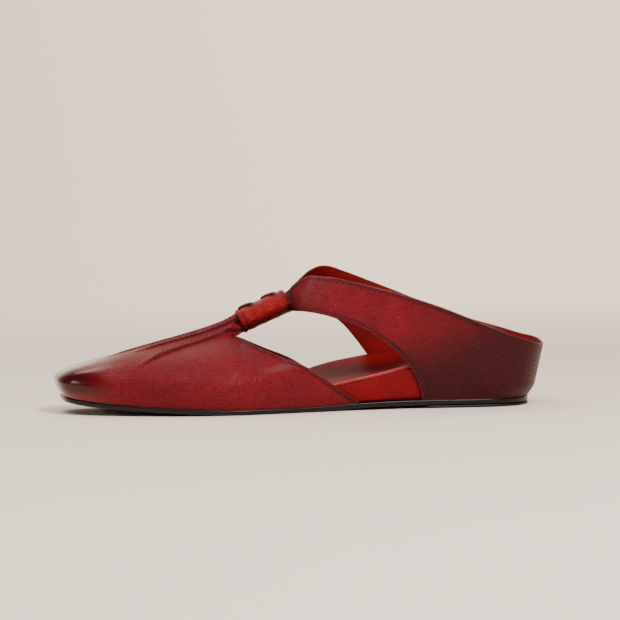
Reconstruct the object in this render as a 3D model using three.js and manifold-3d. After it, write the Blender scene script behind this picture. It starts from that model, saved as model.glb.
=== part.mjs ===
// A left-foot leather mule: a square-toed vamp whose pleated tab runs into a rolled keeper, and a rear
// strap that leaves the keeper in two wings, drapes over a low covered wedge and closes round the heel.
// Last frame: x from the heel towards the toe, y towards the outer (lateral) side, z up from the floor.
// The finished group is turned so that the toe points to -X and the outer side faces -Y.
import * as THREE from "three";
import { mergeVertices } from "three/addons/utils/BufferGeometryUtils.js";
import Module from "manifold-3d";

const wasm = await Module();
wasm.setup();

// Driving sizes, in millimetres.
const SOLE_LENGTH = 250; // that the shares `at` refer to; the sole itself runs from HEEL_END to TOE_END
const BALL_WIDTH = 79;
const WAIST_WIDTH = 48.5;
const HEEL_WIDTH = 53;
const TOE_WIDTH = 40;
const TOE_SLANT = 4; // how far the inner corner of the square toe leads the outer one
const TOE_SPRING = 6.9;
const OUTSOLE_THICKNESS = 2.6;
const SOLE_EDGE_BEVEL = 0.7;
const TOP_LIFT_THICKNESS = 1.4;
const TOP_LIFT_LENGTH = 60;
const WEDGE_HEIGHT = 23; // at the back of the heel
const INSOLE_THICKNESS = 2;
const ARCH_RISE = 6.5; // of the footbed's inner edge over its outer one
const HEEL_CUP_DEPTH = 1.6;
const LEATHER = 1.6; // outer leather and lining together
const TOE_HEIGHT = 21.5; // ridge line over the floor at the toe tip
const CONE_HEIGHT = 90; // ridge of the last above the collar, cut away in the end
const OUTER_COLLAR_HEIGHT = 68.2;
const INNER_COLLAR_HEIGHT = 73.8;
const COLLAR_BLEND_WIDTH = 16; // either side of the middle, over which one side's collar height passes to the other's
const HEEL_SWELL = 2.3; // how far the heel's foot rounds out beyond the sole
const HEEL_LEAN = 0.24; // run outwards of the heel's back for its height above that
const BELLY = 2.6; // how far the vamp swells beyond the sole
const BELLY_HEIGHT = 16; // height over the sole at which it is widest
const KEEPER_LENGTH = 27.5;
const KEEPER_WIDTH = 17;
const KEEPER_HEIGHT = 12.2;
const KEEPER_WALL = 1.4;
const KEEPER_AXIS_HEIGHT = 50.7; // of the middle of the keeper over the floor
const KEEPER_SLOPE = THREE.MathUtils.degToRad(23.5);
const TAB_CREST = 9.4; // height of the folded tab over the instep beneath it
const TUCK_WIDTH = 2.2;
const TUCK_HEIGHT = 1.1;
const THONG_DIAMETER = 1.8;
const THONG_ARCH = 0.4; // clear height under each thong loop
const THONG_REACH = 3.4; // half the length of a loop along the keeper
const THONG_SPREAD = 2.6; // half its length across the keeper
const GAP = 0.3; // between neighbouring pieces

// Where the last's parts meet, as shares of the sole length from the heel.
const HEEL_CENTRE = 0.12;
const TOE_CENTRE = 0.9;
const HEEL_END = 0.01;
const TOE_END = 0.994;
const BED_START = -0.1; // behind the heel
const WEDGE_FRONT = 0.6;
const INSOLE_FRONT = 0.985;
const KEEPER_MIDDLE = 0.56;

// Plan outline: `width` is the named width a row follows, `share` how much of it, `outer` the outer side's part.
const OUTLINE = [
  { at: HEEL_CENTRE, width: HEEL_WIDTH, share: 1, outer: 0.5 },
  { at: 0.24, width: HEEL_WIDTH, share: 0.94, outer: 0.51 },
  { at: 0.36, width: WAIST_WIDTH, share: 1, outer: 0.557 },
  { at: 0.46, width: WAIST_WIDTH, share: 1.155, outer: 0.554 },
  { at: 0.56, width: BALL_WIDTH, share: 0.873, outer: 0.529 },
  { at: 0.64, width: BALL_WIDTH, share: 0.975, outer: 0.513 },
  { at: 0.69, width: BALL_WIDTH, share: 1, outer: 0.5 },
  { at: 0.76, width: BALL_WIDTH, share: 0.968, outer: 0.484 },
  { at: 0.832, width: BALL_WIDTH, share: 0.861, outer: 0.463 },
  { at: TOE_CENTRE, width: BALL_WIDTH, share: 0.715, outer: 0.442 },
  { at: 1, width: TOE_WIDTH, share: 1, outer: 0.39 },
];

// Underside of the outsole: `lift` shares TOP_LIFT_THICKNESS, `spring` shares TOE_SPRING.
const UNDERSIDE = [
  { at: 0, lift: 1, spring: 0 },
  { at: 0.28, lift: 1, spring: 0 },
  { at: 0.37, lift: 0.75, spring: 0 },
  { at: 0.46, lift: 0.2, spring: 0 },
  { at: 0.52, lift: 0, spring: 0 },
  { at: 0.62, lift: 0, spring: 0 },
  { at: 0.7, lift: 0, spring: 0.1 },
  { at: 0.8, lift: 0, spring: 0.29 },
  { at: 0.9, lift: 0, spring: 0.55 },
  { at: 0.95, lift: 0, spring: 0.75 },
  { at: 1, lift: 0, spring: 1 },
];

// Footbed: `rise` shares WEDGE_HEIGHT, `arch` shares ARCH_RISE, `cup` shares HEEL_CUP_DEPTH.
const FOOTBED = [
  { at: 0, rise: 1, arch: 0, cup: 1 },
  { at: 0.08, rise: 0.99, arch: 0, cup: 1 },
  { at: 0.14, rise: 0.945, arch: 0.05, cup: 1 },
  { at: 0.2, rise: 0.855, arch: 0.25, cup: 0.9 },
  { at: 0.26, rise: 0.755, arch: 0.65, cup: 0.6 },
  { at: 0.31, rise: 0.605, arch: 0.92, cup: 0.4 },
  { at: 0.36, rise: 0.5, arch: 1, cup: 0.3 },
  { at: 0.42, rise: 0.4, arch: 1, cup: 0.3 },
  { at: 0.48, rise: 0.282, arch: 0.8, cup: 0.2 },
  { at: 0.52, rise: 0.195, arch: 0.45, cup: 0 },
  { at: 0.56, rise: 0.114, arch: 0.1, cup: 0 },
  { at: 0.6, rise: 0.059, arch: 0, cup: 0 },
  { at: 0.66, rise: 0, arch: 0, cup: 0 },
  { at: 1, rise: 0, arch: 0, cup: 0 },
];

const cosSlope = Math.cos(KEEPER_SLOPE);
const tanSlope = Math.tan(KEEPER_SLOPE);
const keeperX = KEEPER_MIDDLE * SOLE_LENGTH;
const keeperHalf = (KEEPER_LENGTH / 2) * cosSlope;
const keeperFront = (keeperX + keeperHalf) / SOLE_LENGTH;
const keeperRear = (keeperX - keeperHalf) / SOLE_LENGTH;
const tabRoom = (KEEPER_HEIGHT / 2 - KEEPER_WALL - GAP) / cosSlope;

/** Height of the keeper's axis at a share of the sole length. */
function axisHeight(at) {
  return KEEPER_AXIS_HEIGHT + (keeperX - at * SOLE_LENGTH) * tanSlope;
}

/** Top of the tab where it passes through the keeper. */
function tabTop(at) {
  return axisHeight(at) + tabRoom;
}

// Sections of the last. `ridge` is its top in mm, `crest` how much of that is the folded tab and `fold` the tab's
// half width; `square` is the section's superellipse exponent; `swell` goes outwards, full at the share `high` of
// BELLY_HEIGHT; `lean` shares HEEL_LEAN.
const tabFold = KEEPER_WIDTH * 0.53;
const frontTop = tabTop(keeperFront);
const SECTIONS = [
  { at: 0, ridge: CONE_HEIGHT, crest: 0, fold: tabFold, square: 3.6, swell: HEEL_SWELL, high: 0.13, lean: 1 },
  { at: 0.03, ridge: CONE_HEIGHT, crest: 0, fold: tabFold, square: 3.6, swell: HEEL_SWELL, high: 0.2, lean: 0.9 },
  { at: HEEL_CENTRE, ridge: CONE_HEIGHT, crest: 0, fold: tabFold, square: 3.6, swell: HEEL_SWELL, high: 0.7, lean: 0.25 },
  { at: 0.24, ridge: CONE_HEIGHT, crest: 0, fold: tabFold, square: 3.4, swell: HEEL_SWELL * 1.4, high: 2.1, lean: 0 },
  { at: 0.34, ridge: CONE_HEIGHT, crest: 0, fold: tabFold, square: 3, swell: HEEL_SWELL * 1.25, high: 1.9, lean: 0 },
  { at: 0.4, ridge: CONE_HEIGHT * 0.945, crest: 0, fold: tabFold, square: 2.5, swell: BELLY * 1.2, high: 1.5, lean: 0 },
  { at: 0.44, ridge: CONE_HEIGHT * 0.86, crest: TAB_CREST * 0.1, fold: tabFold, square: 2.2, swell: BELLY, high: 1.25, lean: 0 },
  { at: 0.472, ridge: tabTop(0.472) * 1.03, crest: TAB_CREST * 0.5, fold: tabFold * 1.1, square: 2.05, swell: BELLY * 0.8, high: 1.1, lean: 0 },
  { at: keeperRear, ridge: tabTop(keeperRear), crest: TAB_CREST, fold: tabFold, square: 2, swell: BELLY * 0.8, high: 1, lean: 0 },
  { at: KEEPER_MIDDLE, ridge: tabTop(KEEPER_MIDDLE), crest: TAB_CREST, fold: tabFold, square: 2, swell: BELLY * 0.8, high: 1, lean: 0 },
  { at: keeperFront, ridge: frontTop, crest: TAB_CREST, fold: tabFold * 1.05, square: 2, swell: BELLY, high: 1, lean: 0 },
  { at: 0.65, ridge: frontTop * 0.91, crest: TAB_CREST * 0.66, fold: tabFold * 1.5, square: 2.05, swell: BELLY, high: 0.94, lean: 0 },
  { at: 0.7, ridge: frontTop * 0.825, crest: TAB_CREST * 0.4, fold: tabFold * 1.9, square: 2.15, swell: BELLY, high: 0.88, lean: 0 },
  { at: 0.8, ridge: frontTop * 0.69, crest: TAB_CREST * 0.14, fold: tabFold * 2.5, square: 2.5, swell: BELLY * 0.85, high: 0.75, lean: 0 },
  { at: 0.868, ridge: TOE_HEIGHT * 1.385, crest: 0, fold: tabFold * 2.5, square: 3, swell: BELLY * 0.75, high: 0.62, lean: 0 },
  { at: 0.912, ridge: TOE_HEIGHT * 1.255, crest: 0, fold: tabFold * 2.5, square: 3.6, swell: BELLY * 0.8, high: 0.58, lean: 0 },
  { at: 0.96, ridge: TOE_HEIGHT * 1.115, crest: 0, fold: tabFold * 2.5, square: 4.8, swell: BELLY * 1.15, high: 0.56, lean: 0 },
  { at: 1, ridge: TOE_HEIGHT, crest: 0, fold: tabFold * 2.5, square: 6.5, swell: BELLY * 1.4, high: 0.56, lean: 0 },
];

// Ridge line in plan: `shift` shares BALL_WIDTH, towards the inner side.
const RIDGE = [
  { at: 0, shift: 0 },
  { at: 0.3, shift: 0.01 },
  { at: 0.5, shift: 0.035 },
  { at: 0.75, shift: 0.045 },
  { at: 1, shift: 0.055 },
];

// Collar line from the keeper's rear to the back of the heel, as shares of each side's collar height.
const OUTER_COLLAR = [
  { at: 0.502, height: 0.9 },
  { at: 0.482, height: 0.954 },
  { at: 0.464, height: 0.98 },
  { at: 0.438, height: 1 },
  { at: 0.412, height: 0.987 },
  { at: 0.36, height: 0.948 },
  { at: 0.306, height: 0.89 },
  { at: 0.21, height: 0.771 },
  { at: 0.119, height: 0.637 },
  { at: 0.053, height: 0.548 },
  { at: -0.036, height: 0.458 },
];
const INNER_COLLAR = [
  { at: 0.502, height: 0.855 },
  { at: 0.482, height: 0.925 },
  { at: 0.464, height: 0.973 },
  { at: 0.448, height: 0.996 },
  { at: 0.43, height: 1 },
  { at: 0.402, height: 0.981 },
  { at: 0.336, height: 0.897 },
  { at: 0.259, height: 0.79 },
  { at: 0.119, height: 0.575 },
  { at: 0.053, height: 0.496 },
  { at: -0.036, height: 0.42 },
];

// Front edge of the rear strap, from the keeper down to the sole, as shares of the outer collar height.
const OUTER_STRAP_EDGE = [
  { at: 0.49, height: 0.755 },
  { at: 0.469, height: 0.744 },
  { at: 0.423, height: 0.697 },
  { at: 0.38, height: 0.638 },
  { at: 0.334, height: 0.532 },
  { at: 0.291, height: 0.395 },
  { at: 0.266, height: 0.272 },
  { at: 0.252, height: 0.146 },
  { at: 0.249, height: 0.07 },
];
const INNER_STRAP_EDGE = [
  { at: 0.49, height: 0.765 },
  { at: 0.462, height: 0.748 },
  { at: 0.418, height: 0.706 },
  { at: 0.388, height: 0.63 },
  { at: 0.36, height: 0.53 },
  { at: 0.33, height: 0.385 },
  { at: 0.304, height: 0.24 },
  { at: 0.29, height: 0.07 },
];

// Rear edge of the vamp, from the sole up to the throat corner, in the same shares.
const VAMP_EDGE = [
  { at: 0.384, height: 0.066 },
  { at: 0.427, height: 0.167 },
  { at: 0.462, height: 0.262 },
  { at: 0.495, height: 0.341 },
  { at: 0.56, height: 0.448 },
  { at: 0.626, height: 0.571 },
];

// Raised pleats on the vamp, from the keeper towards the toe: `across` is the share from the ridge to the sole edge.
const CENTRE_TUCK = [
  { at: 0.622, across: 0 },
  { at: 0.7, across: 0 },
  { at: 0.8, across: 0 },
  { at: 0.905, across: 0 },
];
const INNER_TUCK = [
  { at: 0.622, across: 0.085 },
  { at: 0.66, across: 0.12 },
  { at: 0.73, across: 0.19 },
  { at: 0.8, across: 0.26 },
];
const OUTER_TUCK = [
  { at: 0.622, across: 0.19 },
  { at: 0.66, across: 0.29 },
  { at: 0.72, across: 0.39 },
  { at: 0.77, across: 0.49 },
  { at: 0.825, across: 0.62 },
];
const THONGS = [
  { name: "thong_front", along: 0.27 },
  { name: "thong_rear", along: -0.24 },
];

// Facets: ribs round the last, rows up each rib.
const BODY_STATIONS = 26;
const HEEL_RIBS = 6;
const TOE_RIBS = 6;
const WALL_ROWS = 8;
const CROWN_ROWS = 7;
const BED_STEP = 0.035; // divides the lengths of both the wedge and the insole from BED_START
const BED_LANES = 8;
const COLLAR_STEP = 0.01;
const COLLAR_LANES = 16;
const WALL_SHARE = 0.8; // of a section's height, below which rows go by height and above which by width
const PLAN_SQUARE_TOE = 4.2;
const PLAN_ROUND_HEEL = 2.25;
const BEYOND = 100; // longer than any piece, for cutters

/** Smooth curve through a table's column against its `at` shares, held at its ends. */
function curveOf(rows, column) {
  const ordered = [...rows].sort((a, b) => a.at - b.at);
  const xs = ordered.map((row) => row.at);
  const ys = ordered.map((row) => row[column]);
  const slopes = ys.map((_, i) => {
    if (i === 0 || i === ys.length - 1) return 0;
    const before = (ys[i] - ys[i - 1]) / (xs[i] - xs[i - 1]);
    const after = (ys[i + 1] - ys[i]) / (xs[i + 1] - xs[i]);
    return before * after <= 0 ? 0 : (2 * before * after) / (before + after);
  });
  return (at) => {
    if (at <= xs[0]) return ys[0];
    if (at >= xs[xs.length - 1]) return ys[ys.length - 1];
    const i = xs.findIndex((x, k) => at >= x && at < xs[k + 1]);
    const span = xs[i + 1] - xs[i];
    const t = (at - xs[i]) / span;
    const start = ys[i] * (1 + 2 * t) + slopes[i] * span * t;
    const end = ys[i + 1] * (3 - 2 * t) - slopes[i + 1] * span * (1 - t);
    return start * (1 - t) ** 2 + end * t ** 2;
  };
}

const outlineRows = OUTLINE.map((row) => ({
  at: row.at,
  outer: row.width * row.share * row.outer,
  inner: row.width * row.share * (1 - row.outer),
}));
const halfWidth = { outer: curveOf(outlineRows, "outer"), inner: curveOf(outlineRows, "inner") };
const section = Object.fromEntries(
  ["ridge", "crest", "fold", "square", "swell", "high", "lean"].map((column) => [column, curveOf(SECTIONS, column)]),
);
const footbed = Object.fromEntries(["rise", "arch", "cup"].map((column) => [column, curveOf(FOOTBED, column)]));
const liftShare = curveOf(UNDERSIDE, "lift");
const springShare = curveOf(UNDERSIDE, "spring");
const ridgeShift = curveOf(RIDGE, "shift");

/** Underside of the outsole at a share of its length. */
function undersideHeight(at) {
  return liftShare(at) * (TOP_LIFT_THICKNESS + GAP) + springShare(at) * TOE_SPRING;
}

/** Height at which the upper, wedge and insole begin, just clear of the outsole. */
function featherHeight(at) {
  return undersideHeight(at) + OUTSOLE_THICKNESS + GAP;
}

/** y of the ridge line in plan. */
function ridgeY(at) {
  return -ridgeShift(at) * BALL_WIDTH;
}

/** One rib of the last: where it leaves the sole edge, and the ridge point that it climbs to. */
function rib(x, y, spineAt) {
  return { edge: new THREE.Vector2(x, y), spine: new THREE.Vector2(spineAt * SOLE_LENGTH, ridgeY(spineAt)) };
}

/** The ribs in order: toe tip, outer side back to the heel, back of the heel, inner side forward to the toe. */
function makeRibs() {
  const side = (name) => {
    const sign = name === "outer" ? 1 : -1;
    const ribs = [];
    for (let i = TOE_RIBS; i >= 1; i--) {
      const turn = ((i / (TOE_RIBS + 1)) * Math.PI) / 2;
      const reach = Math.sin(turn) ** (2 / PLAN_SQUARE_TOE);
      const at = TOE_CENTRE + (TOE_END - TOE_CENTRE) * reach;
      const middle = ridgeY(TOE_CENTRE);
      const y = middle + (sign * halfWidth[name](at) - middle) * Math.cos(turn) ** (2 / PLAN_SQUARE_TOE);
      const slant = ((TOE_SLANT * reach) / 2) * (1 + (2 * (y - middle)) / TOE_WIDTH);
      ribs.push(rib(at * SOLE_LENGTH - Math.max(0, slant), y, TOE_CENTRE));
    }
    for (let i = BODY_STATIONS; i >= 0; i--) {
      const at = HEEL_CENTRE + ((TOE_CENTRE - HEEL_CENTRE) * i) / BODY_STATIONS;
      ribs.push(rib(at * SOLE_LENGTH, sign * halfWidth[name](at), at));
    }
    for (let i = 1; i <= HEEL_RIBS; i++) {
      const turn = ((i / (HEEL_RIBS + 1)) * Math.PI) / 2;
      const at = HEEL_CENTRE + (HEEL_END - HEEL_CENTRE) * Math.sin(turn) ** (2 / PLAN_ROUND_HEEL);
      const y = sign * halfWidth[name](HEEL_CENTRE) * Math.cos(turn) ** (2 / PLAN_ROUND_HEEL);
      ribs.push(rib(at * SOLE_LENGTH, y, HEEL_CENTRE));
    }
    return ribs;
  };
  const tip = rib(TOE_END * SOLE_LENGTH - TOE_SLANT / 2, ridgeY(TOE_CENTRE), TOE_CENTRE);
  const back = rib(HEEL_END * SOLE_LENGTH, 0, HEEL_CENTRE);
  return [tip, ...side("outer"), back, ...side("inner").reverse()];
}

/** Point of the last's outside on a rib, `across` going from 1 at the sole edge to 0 at the ridge. */
function lastPoint({ edge, spine }, across, height) {
  const at = THREE.MathUtils.clamp(edge.x / SOLE_LENGTH, 0, 1);
  const rising = Math.min(1, height.over / (section.high(at) * BELLY_HEIGHT));
  const swollen = section.swell(at) * Math.sin((Math.PI / 2) * rising) ** 0.8 + section.lean(at) * HEEL_LEAN * height.over;
  const away = edge.clone().sub(spine);
  const reach = (away.length() + swollen) * across;
  const plan = spine.clone().addScaledVector(away.normalize(), reach);
  const here = THREE.MathUtils.clamp(plan.x / SOLE_LENGTH, 0, 1);
  const fold = Math.min(1, Math.abs(plan.y - spine.y) / section.fold(here));
  const crest = section.crest(here) * (1 - fold ** 2) ** 2;
  const base = section.ridge(here) - section.crest(here) - featherHeight(here);
  return new THREE.Vector3(plan.x, plan.y, featherHeight(here) + base * height.share + crest);
}

/** Point of a rib's section: by height share up the wall, or by width share over the crown. */
function sectionPoint(oneRib, across) {
  const at = THREE.MathUtils.clamp(oneRib.edge.x / SOLE_LENGTH, 0, 1);
  const square = section.square(at);
  const share = (1 - across ** square) ** (1 / square);
  const over = share * (section.ridge(at) - section.crest(at) - featherHeight(at));
  return lastPoint(oneRib, across, { share, over });
}

/** Width shares of the rows up a rib, from 1 at the sole edge to 0 at the ridge. */
function rowShares(oneRib) {
  const at = THREE.MathUtils.clamp(oneRib.edge.x / SOLE_LENGTH, 0, 1);
  const square = section.square(at);
  const acrossAt = (height) => (1 - height ** square) ** (1 / square);
  const wall = Array.from({ length: WALL_ROWS + 1 }, (_, i) => acrossAt((WALL_SHARE * i) / WALL_ROWS));
  const last = wall[WALL_ROWS];
  const crown = Array.from({ length: CROWN_ROWS }, (_, i) => last * (1 - (i + 1) / CROWN_ROWS));
  return [...wall, ...crown];
}

/** Closed rings of the last's outside, from the sole edge up to the ridge, where each ring has collapsed. */
function lastRings(ribs) {
  const columns = ribs.map((oneRib) => rowShares(oneRib).map((across) => sectionPoint(oneRib, across)));
  return columns[0].map((_, row) => columns.map((column) => column[row]));
}

/** The rings moved inwards along the surface's normals; the lowest ring keeps its height. */
function insetRings(rings, distance) {
  const key = (p) => p.toArray().map((v) => v.toFixed(3)).join();
  const sums = new Map();
  const addFace = (a, b, c) => {
    const face = b.clone().sub(a).cross(c.clone().sub(a));
    for (const p of [a, b, c]) sums.set(key(p), (sums.get(key(p)) ?? new THREE.Vector3()).add(face));
  };
  const count = rings[0].length;
  for (let row = 0; row + 1 < rings.length; row++) {
    for (let i = 0; i < count; i++) {
      const next = (i + 1) % count;
      const [a, b, c, d] = [rings[row][i], rings[row][next], rings[row + 1][next], rings[row + 1][i]];
      addFace(a, c, b);
      addFace(a, d, c);
    }
  }
  return rings.map((ring, row) =>
    ring.map((p) => {
      const inwards = sums.get(key(p)).clone();
      if (row === 0) inwards.z = 0;
      return p.clone().addScaledVector(inwards.normalize(), distance);
    }),
  );
}

/** A geometry from triangles given as corner triples. */
function geometryOf(triangles) {
  const points = triangles.flat().flatMap((p) => p.toArray());
  return new THREE.BufferGeometry().setAttribute("position", new THREE.Float32BufferAttribute(points, 3));
}

/** Triangles of the walls between rings, with flat caps across the first and last ring where asked. */
function ringGeometry(rings, capFirst, capLast) {
  const triangles = [];
  const count = rings[0].length;
  for (let row = 0; row + 1 < rings.length; row++) {
    for (let i = 0; i < count; i++) {
      const next = (i + 1) % count;
      const [a, b, c, d] = [rings[row][i], rings[row][next], rings[row + 1][next], rings[row + 1][i]];
      triangles.push([a, b, c], [a, c, d]);
    }
  }
  const cap = (ring, flip) => {
    for (let i = 0; i < count / 2; i++) {
      const [a, b] = [ring[i], ring[i + 1]];
      const [c, d] = [ring[(count - i - 1) % count], ring[(count - i) % count]];
      const faces = [
        [a, c, b],
        [a, d, c],
      ];
      for (const [p, q, r] of faces) triangles.push(flip ? [p, r, q] : [p, q, r]);
    }
  };
  if (capFirst) cap(rings[0], false);
  if (capLast) cap(rings[rings.length - 1], true);
  return geometryOf(triangles);
}

/** A manifold solid from a geometry, turned the right way out. */
function solidOf(geometry) {
  const bare = geometry.index ? geometry.toNonIndexed() : geometry.clone();
  bare.deleteAttribute("normal");
  bare.deleteAttribute("uv");
  const merged = mergeVertices(bare, 1e-3);
  const corners = merged.index.array;
  const kept = [];
  for (let i = 0; i < corners.length; i += 3) {
    const [a, b, c] = [corners[i], corners[i + 1], corners[i + 2]];
    if (a !== b && b !== c && a !== c) kept.push(a, b, c);
  }
  const make = (order) =>
    new wasm.Manifold(
      new wasm.Mesh({
        numProp: 3,
        vertProperties: merged.attributes.position.array,
        triVerts: new Uint32Array(order),
      }),
    );
  const made = make(kept);
  if (made.volume() >= 0) return made;
  const turned = [];
  for (let i = 0; i < kept.length; i += 3) turned.push(kept[i], kept[i + 2], kept[i + 1]);
  return make(turned);
}

/** A mesh's geometry from a manifold solid. */
function bodyOf(solid) {
  const mesh = solid.getMesh();
  const stride = mesh.numProp;
  const points = new Float32Array(mesh.numVert * 3);
  for (let i = 0; i < mesh.numVert; i++) {
    points.set(mesh.vertProperties.subarray(i * stride, i * stride + 3), i * 3);
  }
  const body = new THREE.BufferGeometry().setAttribute("position", new THREE.BufferAttribute(points, 3));
  body.setIndex(new THREE.BufferAttribute(mesh.triVerts, 1));
  body.computeVertexNormals();
  return body;
}

/** The largest piece of a solid, without the crumbs that a cut can leave. */
function mainPiece(solid) {
  return solid.decompose().reduce((best, piece) => (piece.volume() > best.volume() ? piece : best));
}

/** A block between two heights given as functions of x and y, from one share of the sole length to another. */
function slab(low, high, fromAt, toAt, stepAt, lanes) {
  const columns = Math.round((toAt - fromAt) / stepAt);
  const [from, to] = [fromAt * SOLE_LENGTH, toAt * SOLE_LENGTH];
  const width = BALL_WIDTH * 1.3;
  const point = (i, j, height) => {
    const x = THREE.MathUtils.lerp(from, to, i / columns);
    const y = width * (j / lanes - 0.5);
    return new THREE.Vector3(x, y, height(x, y));
  };
  const triangles = [];
  const quad = (a, b, c, d) => triangles.push([a, b, c], [a, c, d]);
  for (let i = 0; i < columns; i++) {
    for (let j = 0; j < lanes; j++) {
      quad(point(i, j, high), point(i + 1, j, high), point(i + 1, j + 1, high), point(i, j + 1, high));
      quad(point(i, j, low), point(i, j + 1, low), point(i + 1, j + 1, low), point(i + 1, j, low));
    }
    quad(point(i, 0, low), point(i + 1, 0, low), point(i + 1, 0, high), point(i, 0, high));
    quad(point(i + 1, lanes, low), point(i, lanes, low), point(i, lanes, high), point(i + 1, lanes, high));
  }
  for (let j = 0; j < lanes; j++) {
    quad(point(0, j + 1, low), point(0, j, low), point(0, j, high), point(0, j + 1, high));
    quad(point(columns, j, low), point(columns, j + 1, low), point(columns, j + 1, high), point(columns, j, high));
  }
  return solidOf(geometryOf(triangles));
}

/** Points of a table in the side view, in millimetres. */
function sidePoints(rows, height) {
  return rows.map((row) => new THREE.Vector2(row.at * SOLE_LENGTH, row.height * height));
}

/** A side-view shape pushed through one side of the shoe. */
function sideCutter(shape, name) {
  const prism = new THREE.ExtrudeGeometry(shape, { depth: BEYOND, bevelEnabled: false, curveSegments: 5 });
  prism.rotateX(Math.PI / 2);
  prism.translate(0, ridgeY(KEEPER_MIDDLE) + (name === "outer" ? BEYOND : 0), 0);
  return solidOf(prism);
}

/** The window between vamp and rear strap on one side. */
function windowCutter(name) {
  const strap = sidePoints(name === "outer" ? OUTER_STRAP_EDGE : INNER_STRAP_EDGE, OUTER_COLLAR_HEIGHT);
  const vamp = sidePoints(VAMP_EDGE, OUTER_COLLAR_HEIGHT);
  const tabEdge = (at) => new THREE.Vector2(at * SOLE_LENGTH, axisHeight(at) - tabRoom);
  const shape = new THREE.Shape();
  shape.moveTo(strap[strap.length - 1].x, -BEYOND);
  shape.lineTo(vamp[0].x, -BEYOND);
  shape.lineTo(vamp[0].x, vamp[0].y);
  shape.splineThru(vamp.slice(1));
  for (const at of [keeperFront, keeperRear]) shape.lineTo(tabEdge(at).x, tabEdge(at).y);
  shape.lineTo(strap[0].x, strap[0].y);
  shape.splineThru(strap.slice(1));
  return sideCutter(shape, name);
}

/** Everything above the collar, whose line passes smoothly from the outer side's to the inner side's. */
function collarCutter() {
  const outer = curveOf(OUTER_COLLAR, "height");
  const inner = curveOf(INNER_COLLAR, "height");
  const low = (x, y) => {
    const share = THREE.MathUtils.smoothstep(y, -COLLAR_BLEND_WIDTH, COLLAR_BLEND_WIDTH);
    const at = x / SOLE_LENGTH;
    return THREE.MathUtils.lerp(inner(at) * INNER_COLLAR_HEIGHT, outer(at) * OUTER_COLLAR_HEIGHT, share);
  };
  return slab(low, () => 2 * BEYOND, BED_START, OUTER_COLLAR[0].at, COLLAR_STEP, COLLAR_LANES);
}

/** A raised pleat that lies along a table of width shares, on one side of the ridge. */
function tuckSolid(rows, name) {
  const across = curveOf(rows, "across");
  const steps = 14;
  const around = 6;
  const first = rows[0].at;
  const length = rows[rows.length - 1].at - first;
  const sign = name === "outer" ? 1 : -1;
  const at = (i) => first + (length * i) / steps;
  const surface = (share, aside) => {
    const oneRib = rib(share * SOLE_LENGTH, sign * halfWidth[name](share), share);
    const widest = oneRib.edge.distanceTo(oneRib.spine);
    return sectionPoint(oneRib, Math.max(0, across(share) + aside / widest));
  };
  const rings = [];
  for (let i = 0; i <= steps; i++) {
    const middle = surface(at(i), 0);
    const ahead = surface(at(i) + 0.004, 0).sub(surface(at(i) - 0.004, 0)).normalize();
    const outwards = new THREE.Vector3(0, sign, 0);
    if (across(at(i)) > 0) outwards.copy(surface(at(i), 1).sub(surface(at(i), 0)));
    outwards.addScaledVector(ahead, -outwards.dot(ahead)).normalize();
    const up = outwards.clone().cross(ahead);
    if (up.z < 0) up.negate();
    const taper = Math.min(1, ((steps - i) / steps) * 3 + 0.15);
    rings.push(
      Array.from({ length: around }, (_, k) => {
        const turn = (k / around) * 2 * Math.PI;
        const sideways = (Math.cos(turn) * TUCK_WIDTH * taper) / 2;
        const lift = Math.sin(turn) * (TUCK_HEIGHT * taper) - (Math.sin(turn) < 0 ? -TUCK_HEIGHT * taper * 0.4 : 0);
        return middle.clone().addScaledVector(outwards, sideways).addScaledVector(up, lift);
      }),
    );
  }
  return solidOf(ringGeometry(rings, true, true));
}

/** A frame on the keeper's axis: origin at its middle, x forwards along it, y outwards, z away from the foot. */
function keeperFrame() {
  const forwards = new THREE.Vector3(cosSlope, 0, -Math.sin(KEEPER_SLOPE));
  const outwards = new THREE.Vector3(0, 1, 0);
  const up = forwards.clone().cross(outwards);
  const frame = new THREE.Matrix4().makeBasis(forwards, outwards, up);
  return frame.setPosition(keeperX, ridgeY(KEEPER_MIDDLE), KEEPER_AXIS_HEIGHT);
}

/** A rounded-oblong outline of a given full width and height. */
function oblong(width, height) {
  const sides = 28;
  const roundness = 2.5;
  return Array.from({ length: sides }, (_, i) => {
    const turn = (i / sides) * 2 * Math.PI;
    const bend = (v) => Math.sign(v) * Math.abs(v) ** (2 / roundness);
    return new THREE.Vector2((bend(Math.cos(turn)) * width) / 2, (bend(Math.sin(turn)) * height) / 2);
  });
}

/** A tube of that outline along the keeper's axis. */
function keeperTube(width, height, length) {
  const prism = new THREE.ExtrudeGeometry(new THREE.Shape(oblong(width, height)), { depth: length, bevelEnabled: false });
  prism.translate(0, 0, -length / 2);
  prism.applyMatrix4(new THREE.Matrix4().makeBasis(
    new THREE.Vector3(0, 1, 0),
    new THREE.Vector3(0, 0, 1),
    new THREE.Vector3(1, 0, 0),
  ));
  prism.applyMatrix4(keeperFrame());
  return solidOf(prism);
}

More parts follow.
